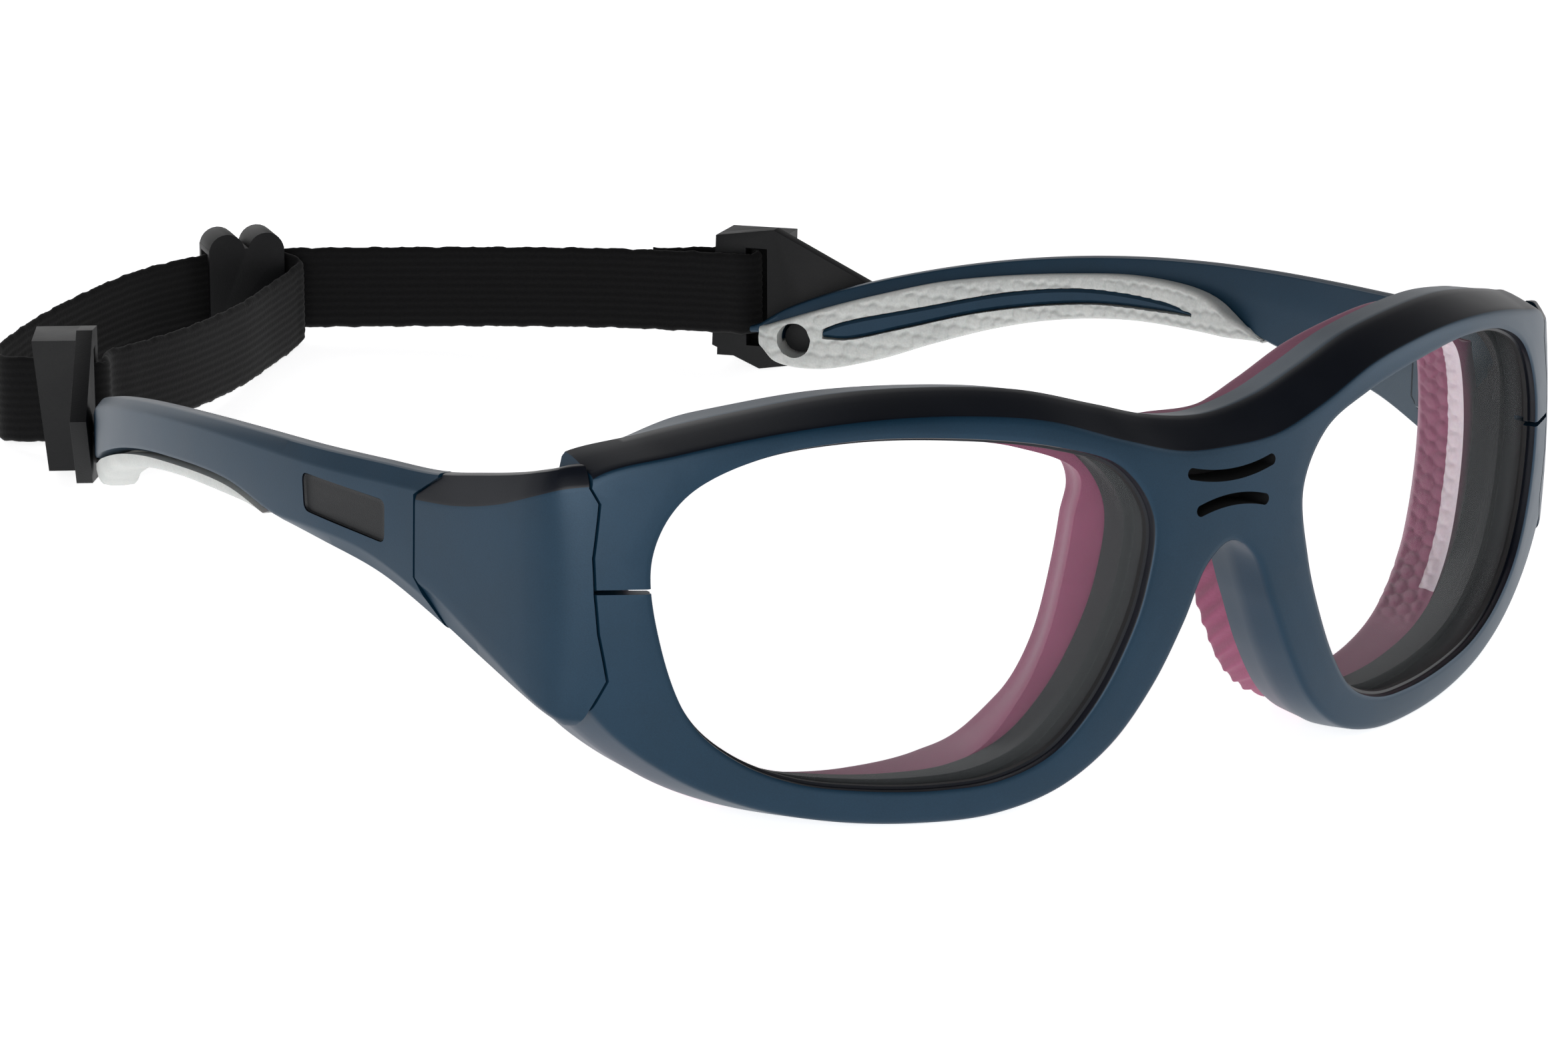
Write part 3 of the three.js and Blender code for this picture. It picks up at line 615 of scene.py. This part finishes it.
def honeycomb(u, v, size, seed):
    """Pebble height, 0 in the grooves and 1 on top, of a slightly uneven honeycomb."""
    rng = random.Random(seed)
    low = (u.min() - 2 * size, v.min() - 2 * size)
    rows = int((v.max() - low[1]) / (size * 0.866)) + 3
    columns = int((u.max() - low[0]) / size) + 3
    tree = KDTree(rows * columns)
    for r in range(rows):
        for q in range(columns):
            a = low[0] + (q + 0.5 * (r % 2) + rng.uniform(-0.13, 0.13)) * size
            b = low[1] + (r * 0.866 + rng.uniform(-0.13, 0.13)) * size
            tree.insert((a, b, 0), r * columns + q)
    tree.balance()
    gaps = []
    for a, b in zip(u.ravel(), v.ravel()):
        near = tree.find_n((a, b, 0), 2)
        gaps.append(near[1][2] - near[0][2])
    return smooth(np.array(gaps).reshape(u.shape) / size, 0.03, 0.42)


def face_pad():
    body = whole(BODY_EDGE, 1100)
    hole = resample(catmull(PAD_OPENING, True), 560, True)
    even = np.round(np.linspace(8.5, 13.6, 18), 1)
    depths = np.array([PAD_NEAR, *even, 13.85, 14.05, PAD_FAR])
    curl = PAD_CURL * (1 - np.sqrt(1 - np.clip((depths - 13.2) / 1.0, 0, 1) ** 2))
    part = Part()
    nasal = (1 - smooth(hole[:, 0], 15, 24)) * (1 - smooth(hole[:, 1], 8, 13))
    out = offset(hole, 1) - hole
    soft = 1 - 0.75 * smooth(-hole[:, 1], 10, 15)

    def eye_wall(k):
        lean = 2.4 * nasal * smooth(depths[k], 8, 13.5) + curl[k] * soft
        return hole + out * lean[:, None]

    # walls round the eyes: honeycomb on the temple side, pale next to the rim
    length = np.linalg.norm(np.roll(hole, -1, 0) - hole, axis=1)
    along = np.concatenate([[0], np.cumsum(length)[:-1]])
    u, v = np.meshgrid(along, depths)
    cell = honeycomb(u, v, PAD_CELL, 7)
    temple = smooth(hole[:, 0], 44, 49)
    lip = smooth(depths, 8.8, 9.6) * (1 - smooth(depths, 13.7, PAD_FAR))
    for side in (1, -1):
        loops = []
        for k, depth in enumerate(depths):
            push = 0.34 * cell[k] * temple * lip[k]
            loop = eye_wall(k) - out * push[:, None]
            loop[:, 0] *= side
            loops.append(on_face(loop, depth))
        pale = [[int(depth < 10.2 and x > 50) for x in hole[:, 0]] for depth in depths[:-1]]
        part.rings(loops, pale)

    # outer wall, with slanted ribs where it meets the nose
    tuck = 1.4 + 1.2 * smooth(body[:, 1], 4, 13) * smooth(np.abs(body[:, 0]), 0, 8)
    tuck += (1 + 2.6 * smooth(body[:, 1], 0, 10)) * smooth(np.abs(body[:, 0]), 44, 57)
    inward = offset(body, -1) - body
    wall = body + inward * tuck[:, None]
    thin = 1 - 0.75 * smooth(-body[:, 1], 10, 15)
    length = np.linalg.norm(np.roll(body, -1, 0) - body, axis=1)
    along = np.concatenate([[0], np.cumsum(length)[:-1]])
    nose = (1 - smooth(np.abs(body[:, 0]), 17, 21)) * (1 - smooth(body[:, 1], 1, 5))
    loops = []
    for k, depth in enumerate(depths):
        slant = np.where(body[:, 0] > 0, along, -along) + 0.8 * depth
        rib = 0.5 + 0.5 * np.cos(slant * 2 * math.pi / PAD_RIB)
        push = 0.45 * rib * nose * (1 - smooth(depth, 13.2, PAD_FAR))
        loop = wall + inward * (curl[k] * thin - push)[:, None]
        loops.append(on_face(loop, depth))
    part.rings(loops)

    # the end against the face swells a little; the other end lies against the front
    def swell(p):
        outside = wall + inward * (PAD_CURL * thin)[:, None]
        ring = np.vstack([eye_wall(-1), eye_wall(-1) * (-1, 1), outside])
        reach = np.array([np.min(np.hypot(*(ring - q).T)) for q in p])
        return on_face(p, PAD_FAR + 0.5 * (1 - np.exp(-reach / 0.9)))

    for k, lift, gap in ((-1, swell, 0.9), (0, lambda p: on_face(p, PAD_NEAR), 3)):
        inner = eye_wall(k)
        outer = wall + inward * (curl[k] * thin)[:, None]
        part.sheet(outer, [inner, inner * (-1, 1)], lift, gap)
    obj = part.build("pad_foam", [PINK, PALE], sharp=60)
    # Hinge notches and the table. The pad's mesh isn't closed yet, so these cuts are refused and
    # leave it whole.
    hinge = [(57.2, -30), (90, -30), (90, 30), (57.2, 30)]
    carve(obj, [*(prism(hinge, 1, 20, 60, side) for side in (1, -1)), table_slab()])
    clean(obj, 60)
    return body_of(obj, "front", "pad_pink", "face_pad")


# ---- temples ----
def curve_value(points):
    line = catmull(points, False)
    return lambda y: np.interp(y, line[:, 0], line[:, 1])


FLARE_PLAN = catmull([
    (61, 19.31), (62.3, 20.25), (63.5, 21.3), (64.55, 22.6), (65.3, 24.2), (65.85, 26.4),
    (66.2, 29.2), (66.62, 34.5), (67.1, 41.6), (67.3, 44.6),
], False)
BEVEL_LINE = curve_value([(19, 14.2), (22.5, 13.7), (30.7, 11.1), (37.2, 9.8), (43.6, 9.3)])
FACET_LINE = curve_value([(19, -9), (23.7, -8.4), (32, -4.3), (41.5, 0.3), (43.5, 0.9)])
SEAM_LINE = curve_value([
    (64, 2.0), (68, 2.75), (77.3, 4.6), (93.5, 4), (105.4, 2.1), (116.8, -1), (125, -3.6),
    (131, -5.1), (135.5, -4.9), (138.5, -4.2),
])
GRIP_TOP = curve_value([
    (69.5, 2.95), (73.4, 5.3), (76.4, 6.9), (80.4, 7.8), (89.4, 8), (99.9, 6.9), (111, 5.2),
    (117.8, 3.8), (124.4, 1.8), (130.7, -0.4), (135.3, -2.2), (138.1, -3.4),
])


def temple_at(y, depth, z):
    """A place on the left temple behind the hinge; depth is measured inward from its face."""
    slope = (station(1, y + 0.4) - station(1, y - 0.4)) / 0.8
    size = math.hypot(1, slope)
    return (station(1, y) - depth / size, y + depth * slope / size, z)


def flare(side):
    part = Part()
    plan = resample(FLARE_PLAN, 90, False)
    heading = np.gradient(plan, axis=0)
    heading /= np.linalg.norm(heading, axis=1)[:, None]
    loops = []
    for (x, y), (hx, hy) in zip(plan, heading):
        top, bottom = station(2, max(y, FLARE_Y)), station(3, max(y, FLARE_Y))
        bevel, facet = float(BEVEL_LINE(y)), float(FACET_LINE(y))
        bend = (1 - smooth(y, 20.5, 25)) / (2 * 86)
        edge = [
            (SHELL, bottom + 0.35), (SHELL, (top + bottom) / 2), (SHELL, top - 0.35),
            (SHELL - 0.35, top - 0.03), (1.5, top), (1.2, top - 0.04), (0.98, top - 0.16),
            (0.5, (top + bevel) / 2), (0.14, bevel + 0.2), (0.03, bevel - 0.1),
            (0, bevel - 0.5),
        ]
        for k in range(1, 8):
            edge.append((0, bevel - 0.5 + (facet + 0.4 - bevel + 0.5) * k / 8))
        edge += [
            (0, facet + 0.4), (0.05, facet + 0.05), (0.2, facet - 0.25),
            (0.75, bottom + 0.3), (1.0, bottom + 0.08), (1.4, bottom), (SHELL - 0.35, bottom),
        ]
        ring = []
        for depth, z in edge:
            ring.append((x - depth * hy, y + depth * hx + bend * (z - MID_Z) ** 2, z))
        loops.append(ring)
    # The flare's upward-facing top chamfer gets the near-black navy painted shade.
    painted_shade_top = [int(3 <= i <= 8) for i in range(len(loops[0]))]
    part.tube(loops, [painted_shade_top] * (len(loops) - 1), end=1)
    obj = part.build(f"flare_shell_{SIDE_NAME[side]}", [BLUE, PAINTED_SHADE_NAVY], side, sharp=30)
    front = [(x + JOIN_GAP, z) for x, z in CORNER_JOIN] + [(40, -16), (40, 22)]
    behind = [(y - JOIN_GAP, z) for y, z in ARM_JOIN] + [(60, -20), (60, 22)]
    carve(obj, [prism(front, 1, 0, 31.5, side), prism(behind, 0, 40, 80, side)])
    clean(obj, 30)
    name = SIDE_NAME[side]
    return body_of(obj, f"temple_{name}", "frame_blue", f"temple_flare_{name}")


def arm(side):
    part = Part()
    loops = []
    for y in np.concatenate([np.linspace(38, 130, 150), np.linspace(130.4, TIP_Y, 34)]):
        top = station(2, y)
        bottom = max(station(3, y), float(SEAM_LINE(y)) + 0.14) if y > 66 else station(3, y)
        bottom = min(bottom, top - 0.8)
        tall = top - bottom
        upper = min(1.7 - 0.7 * float(smooth(y, 50, 90)), tall * 0.3)
        lower = min(1.7 - 1.2 * float(smooth(y, 52, 72)), tall * 0.3)
        low, high = bottom + lower, top - upper
        edge = [
            (SHELL, bottom + 0.25), (SHELL, (top + bottom) / 2), (SHELL, top - 0.3),
            (SHELL - 0.1, top - 0.1), (SHELL - 0.3, top), (1.1, top), (0.9, top - 0.03),
            (0.72, top - 0.15), (0.14, high + 0.14), (0.03, high - 0.1), (0, high - 0.3),
            (0, (low + high) / 2), (0, low + 0.3), (0.03, low + 0.08), (0.14, low - 0.14),
            (0.7, bottom + 0.16), (0.9, bottom + 0.03), (1.1, bottom), (SHELL - 0.25, bottom),
        ]
        loops.append([temple_at(y, depth, z) for depth, z in edge])
    part.tube(loops)
    name = SIDE_NAME[side]
    obj = part.build(f"arm_shell_{name}", [BLUE, PAINTED_SHADE_NAVY], side, sharp=30)
    ahead = [(y + JOIN_GAP, z) for y, z in ARM_JOIN] + [(20, -20), (20, 22)]
    recess = patch(BADGE_OUTLINE, -1, 0.75, side, 1)
    carve(obj, [prism(ahead, 0, 40, 80, side), recess, drill(side)])
    clean(obj, 30)
    body_of(obj, f"temple_{name}", "frame_blue", f"temple_arm_{name}")


BADGE_CORNERS = [(62, 8.8), (48.3, 8.3), (48.5, 3.9), (61.8, 4.9)]
BADGE_OUTLINE = corners_round(BADGE_CORNERS, [0.9] * 4, 4)


def patch(outline, near, far, side, kind):
    """A cutter that follows the temple's face between two depths; outline is in y and z."""
    part = Part()
    middle = np.mean(outline, 0)
    loops = []
    for share, depth in ((0.0, near), (0.5, near), (1, near), (1, far), (0.5, far), (0.0, far)):
        loop = []
        for p in outline:
            y, z = middle + (np.array(p) - middle) * max(share, 0.02)
            loop.append(temple_at(y, depth, z))
        loops.append(loop)
    part.tube(loops, [kind] * 5, kind)
    return part.build("cutter", (), side)


def badge(side):
    middle = np.mean(BADGE_OUTLINE, 0)
    part = Part()
    loops = []
    rings = [(0.3, 0.34), (0.7, 0.34), (0.9, 0.34), (0.93, 0.3), (0.95, 0.14), (0.965, 0.1),
             (0.98, 0.14), (0.985, 0.3), (0.985, 0.7), (0.3, 0.7)]
    for share, depth in rings:
        loop = []
        for p in BADGE_OUTLINE:
            d = np.array(p) - middle
            grow = np.array([1 - (1 - share) * 0.45, share])
            y, z = middle + d * grow
            loop.append(temple_at(y, depth, z))
        loops.append(loop)
    part.tube(loops)
    name = SIDE_NAME[side]
    obj = part.build(f"badge_{name}", [BADGE], side, sharp=50)
    body_of(obj, f"temple_{name}", "badge_grey", f"badge_plate_{name}")


def drill(side):
    """A round cutter through the temple tip where the clip's peg goes."""
    part = Part()
    slope = (station(1, HOLE_Y + 0.4) - station(1, HOLE_Y - 0.4)) / 0.8
    across = np.array([1, -slope, 0]) / math.hypot(1, slope)
    flat = np.array([-across[1], across[0], 0])
    centre = np.array([station(1, HOLE_Y), HOLE_Y, HOLE_Z])
    loops = []
    for reach in (-9, 4):
        loop = []
        for k in range(40):
            a = 2 * math.pi * k / 40
            spot = flat * math.cos(a) + np.array([0, 0, math.sin(a)])
            loop.append(centre + across * reach + HOLE_R * spot)
        loops.append(loop)
    part.block(*loops)
    return part.build("cutter", [], side)


SLOT_TOP = curve_value([(78.6, 5.0), (84, 5.9), (96.1, 5.8), (107.4, 4), (117.8, 1.3),
                        (128.6, -1.8), (131, -3)])
SLOT_LOW = curve_value([(78.6, 4.8), (84, 4.6), (96.1, 3.9), (111, 1.1), (121.2, -1.9),
                        (128, -3.9), (131, -3.9)])


def slot_outline(inset):
    ys = np.concatenate([[79.2], np.linspace(80, 129, 50), [130, 130.6]])
    high = np.array([float(SLOT_TOP(y)) for y in ys]) - inset
    low = np.array([float(SLOT_LOW(y)) for y in ys]) + inset
    return ys, high, np.minimum(low, high - 0.05)


def slot_block(side, near, far, inset, name="cutter", looks=()):
    """The long slot in the grip, as a block that follows the temple."""
    part = Part()
    ys, high, low = slot_outline(inset)
    loops = []
    for y, top, bottom in zip(ys, high, low):
        r = min(0.35, (top - bottom) / 3) if looks else 0
        loops.append([
            temple_at(y, near, bottom), temple_at(y, near, top),
            temple_at(y, far - r, top), temple_at(y, far, top - r),
            temple_at(y, far, bottom + r), temple_at(y, far - r, bottom),
        ])
    part.tube(loops)
    return part.build(name, looks, side)


def grip(side):
    name = SIDE_NAME[side]
    near, far = SHELL + 0.12, SHELL + GAP + GRIP
    ys = np.arange(69.9, TIP_Y - 0.4, 0.27)
    count = 44
    us, vs = np.zeros((len(ys), count)), np.zeros((len(ys), count))
    for k, y in enumerate(ys):
        bottom = station(3, y)
        top = max(float(GRIP_TOP(y)), bottom + 0.5)
        for i in range(count):
            us[k, i] = y * 1.06
            vs[k, i] = bottom + (top - bottom) * (i + 0.5) / count
    height = honeycomb(us, vs, GRIP_CELL, 11)
    part = Part()
    loops = []
    for k, y in enumerate(ys):
        bottom = station(3, y)
        top = max(float(GRIP_TOP(y)), bottom + 0.5)
        thick = far - (far - near - 0.3) * (1 - smooth(y, 70, 75))
        thick -= (far - near - 0.5) * smooth(y, 136, 138.2)
        lip = min(float(SEAM_LINE(y)), top - 0.1) - 0.14
        wrap = float(smooth(y, 67.5, 69))
        lip = max(lip, bottom + 0.06)
        ring = []
        # up the inner face, from the bottom edge to the top edge
        for i in range(count):
            t = (i + 0.5) / count
            z = bottom + (top - bottom) * t
            rim = min(t, 1 - t) * (top - bottom)
            round_off = 0.55 * math.exp(-rim / 0.28)
            edge = float(smooth(rim, 0.25, 0.7))
            ring.append(temple_at(y, thick - round_off - 0.24 * (1 - height[k, i]) * edge, z))
        ring.append(temple_at(y, thick - 0.9, top + 0.02))
        ring.append(temple_at(y, near, top - 0.05))
        ring.append(temple_at(y, near, (top + lip) / 2))
        ring.append(temple_at(y, near, lip))
        ring.append(temple_at(y, near - 0.6, lip))
        ring.append(temple_at(y, 0.5, lip))
        ring.append(temple_at(y, 0.12 + 0.2 * (1 - wrap), lip - 0.04))
        for t in (0.3, 0.6, 0.8, 0.92):
            z = lip + (bottom - lip) * t
            ring.append(temple_at(y, 0.1 + 0.9 * t**3, z))
        ring.append(temple_at(y, 1.7, bottom - 0.02))
        ring.append(temple_at(y, (thick + 1.6) / 2, bottom - 0.03))
        loops.append(ring)
    part.tube(loops)
    obj = part.build(f"grip_pad_{name}", [WHITE, PAINTED_SHADE_BLACK], side, sharp=50)
    carve(obj, [slot_block(side, 0.05 + SHELL, far + 2, 0), drill(side)])
    clean(obj, 50)
    body_of(obj, f"temple_{name}", "grip_white", f"temple_grip_{name}")
    rib = slot_block(side, SHELL - 0.2, far - 0.3, 0.16, f"arm_rib_{name}", [BLUE])
    body_of(rib, f"temple_{name}", "frame_blue")


# ---- hinge ----
def knuckle(side):
    """Middle barrel of the hinge and the web that joins it to the flare."""
    part = Part()
    half = 2.2
    loops = []
    for radius, z in ((0.85, -half), (1.8, -half), (2, -half + 0.2), (2, half - 0.2), (1.8, half),
                      (0.85, half)):
        loops.append([
            (radius * math.cos(a), radius * math.sin(a), z)
            for a in (2 * math.pi * k / 40 for k in range(40))
        ])
    made = part.rings(loops)
    part.strip(made[-1], made[0])
    web = [(0.95, 1.3), (4.4, 1.3), (4.4, 3.2), (-0.4, 3.2), (-0.4, 1.9)]
    web = corners_round(web, [0.1, 0.3, 0.3, 0.3, 0.2], 2)
    loops = []
    for shrink, z in ((0.9, -half), (1, -half + 0.2), (1, half - 0.2), (0.9, half)):
        loops.append([((x - 2) * shrink + 2, (y - 2) * shrink + 2, z) for x, y in web])
    part.tube(loops)
    c, s = math.cos(LEAN), math.sin(LEAN)
    part.points = [
        (x * c + z * s + HINGE[0], y + HINGE[1], -x * s + z * c + HINGE[2])
        for x, y, z in part.points
    ]
    obj = part.build(f"hinge_knuckle_{SIDE_NAME[side]}", [BLUE], side)
    body_of(obj, f"temple_{SIDE_NAME[side]}", "frame_blue")


# ---- clips and slider: the CAD shapes with moulded edges ----
def moulded(name, node, width, look, body, slot):
    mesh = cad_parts[node].data.copy()
    mesh.name = name
    obj = bpy.data.objects.new(name, mesh)
    bpy.context.scene.collection.objects.link(obj)
    bm = bmesh.new()
    bm.from_mesh(mesh)
    bmesh.ops.remove_doubles(bm, verts=bm.verts, dist=2e-6)
    bmesh.ops.dissolve_limit(
        bm, angle_limit=math.radians(1.5), verts=bm.verts, edges=bm.edges, delimit=set()
    )
    bm.to_mesh(mesh)
    bm.free()
    bevel = obj.modifiers.new("bevel", "BEVEL")
    bevel.width = width / 1000
    bevel.segments = 3
    bevel.limit_method = "ANGLE"
    bevel.angle_limit = math.radians(32)
    bpy.context.view_layer.update()
    bake_modifiers(obj)
    obj.data.materials.clear()
    obj.data.materials.append(look)
    clean(obj, 40)
    return body_of(obj, body, slot, node)


# ---- straps ----
def strap(name, route, node, hem):
    """Woven elastic standing on edge, with lengthwise cords and slightly wavy edges."""
    line = catmull(route, False)
    length = float(np.linalg.norm(np.diff(line, axis=0), axis=1).sum())
    steps = int(length / 0.45)
    line = resample(line, steps, False)
    heading = np.gradient(line[:, :2], axis=0)
    heading /= np.linalg.norm(heading, axis=1)[:, None]
    rng = random.Random(len(route))
    phase = [rng.uniform(0, 6) for _ in range(4)]
    across = 42
    loops = []
    for k, ((x, y, middle), (hx, hy)) in enumerate(zip(line, heading)):
        s = length * k / (steps - 1)
        wave = 0.1 * math.sin(s * 1.3 + phase[0]) + 0.07 * math.sin(s * 3.7 + phase[1])
        thread = 0.05 * math.sin(s * 2 * math.pi / 0.95)
        half = STRAP_W / 2 + 0.04 * math.sin(s * 2.1 + phase[2]) + 0.4 * thread
        thick = STRAP_T / 2
        ring = []
        for face in (1, -1):
            for i in range(across):
                t = -1 + 2 * i / (across - 1)
                cord = 0.055 * math.cos(t * math.pi * 11) + 0.5 * thread * math.cos(i * 2.4)
                edge = thick * math.sqrt(max(1 - abs(t) ** 14, 0.04))
                sewn = 0.0
                for place in hem:
                    sewn += 0.16 * math.exp(-((s - place) / 0.35) ** 2)
                out = face * max(edge - 0.06 + cord - sewn, 0.12)
                z = middle + 0.4 * wave * abs(t) + face * t * half
                ring.append((x - hy * out, y + hx * out, z))
        loops.append(ring)
    part = Part()
    part.tube(loops)
    obj = part.build(name, [STRAP], sharp=60)
    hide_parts(node)
    return obj


def spot(x, y, z=0.0):
    return tuple(float(v) for v in row([(x, y, z)])[0])


# ---- the studio ----
def studio():
    size = 3.0
    mesh = bpy.data.meshes.new("floor")
    mesh.from_pydata([(-size, -size, 0), (size, -size, 0), (size, size, 0), (-size, size, 0)],
                     [], [(0, 1, 2, 3)])
    mesh.materials.append(FLOOR)
    floor = bpy.data.objects.new("floor", mesh)
    bpy.context.scene.collection.objects.link(floor)
    shader = FLOOR.node_tree.nodes["Principled BSDF"]
    shader.inputs["Emission Color"].default_value = (1, 1, 1, 1)
    shader.inputs["Emission Strength"].default_value = 0.8

    world = bpy.data.worlds.new("studio")
    bpy.context.scene.world = world
    world.use_nodes = True
    nodes, links = world.node_tree.nodes, world.node_tree.links
    sky = nodes["Background"]
    way = nodes.new("ShaderNodeTexCoord")
    split = nodes.new("ShaderNodeSeparateXYZ")
    ramp = nodes.new("ShaderNodeValToRGB")
    links.new(way.outputs["Generated"], split.inputs[0])
    links.new(split.outputs["Z"], ramp.inputs["Fac"])
    links.new(ramp.outputs["Color"], sky.inputs["Color"])
    ramp.color_ramp.elements[0].position = 0.05
    ramp.color_ramp.elements[0].color = (1, 1, 1, 1)
    ramp.color_ramp.elements[1].position = 0.45
    ramp.color_ramp.elements[1].color = (0.07, 0.07, 0.075, 1)
    sky.inputs["Strength"].default_value = 0.75

    for place, power, width in (
        ((-0.75, -0.6, 0.25), 5, 0.6), ((0.8, -0.4, 0.3), 2.5, 0.6), ((0.1, 0.8, 0.5), 2.5, 0.8),
    ):
        light = bpy.data.lights.new("softbox", "AREA")
        light.shape = "SQUARE"
        light.size = width
        light.energy = power
        lamp = bpy.data.objects.new("softbox", light)
        bpy.context.scene.collection.objects.link(lamp)
        lamp.location = place
        aim = Vector((0, 0, 0.02)) - Vector(place)
        lamp.rotation_euler = aim.to_track_quat("-Z", "Y").to_euler()

    az, el, roll = CAMERA_AZIMUTH, CAMERA_ELEVATION, CAMERA_ROLL
    back = Vector((math.sin(az) * math.cos(el), -math.cos(az) * math.cos(el), math.sin(el)))
    right = Vector((math.cos(az), math.sin(az), 0))
    up = back.cross(right)
    turned = math.cos(roll) * right + math.sin(roll) * up
    upright = -math.sin(roll) * right + math.cos(roll) * up
    place = Vector(CAMERA_TARGET) + CAMERA_DISTANCE * back
    data = bpy.data.cameras.new("camera")
    data.sensor_width = CAMERA_SENSOR
    data.lens = CAMERA_LENS
    data.clip_start = 0.01
    camera = bpy.data.objects.new("camera", data)
    bpy.context.scene.collection.objects.link(camera)
    basis = Matrix((turn(turned), turn(upright), turn(back))).transposed().to_4x4()
    camera.matrix_world = Matrix.Translation(Vector(row([place])[0])) @ basis
    bpy.context.scene.camera = camera
    bpy.context.scene.view_settings.view_transform = "Standard"


studio()
front_shell()
face_pad()
for SIDE in (1, -1):
    NAME = SIDE_NAME[SIDE]
    lens(SIDE)
    flare(SIDE)
    arm(SIDE)
    badge(SIDE)
    grip(SIDE)
    knuckle(SIDE)
    CLIP = f"clip_{NAME}"
    moulded(f"{CLIP}_moulding", f"strap_{CLIP}", 0.3, BLACK, CLIP, "clip_black")
    for node, look in (("rim_screw", STEEL), ("hinge_screw", STEEL), ("hinge_block", HINGE_BLACK)):
        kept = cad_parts[f"{node}_{NAME}"]
        kept.data.materials.clear()
        kept.data.materials.append(look)
moulded("slider_moulding", "strap_slider", 0.35, BLACK, "slider", "clip_black")
run = strap("strap_run_weave", STRAP_RUN, "strap_run", (1.2, 2.2))
loop = strap("strap_loop_weave", STRAP_LOOP, "strap_loop", ())
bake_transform(run)
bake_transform(loop)
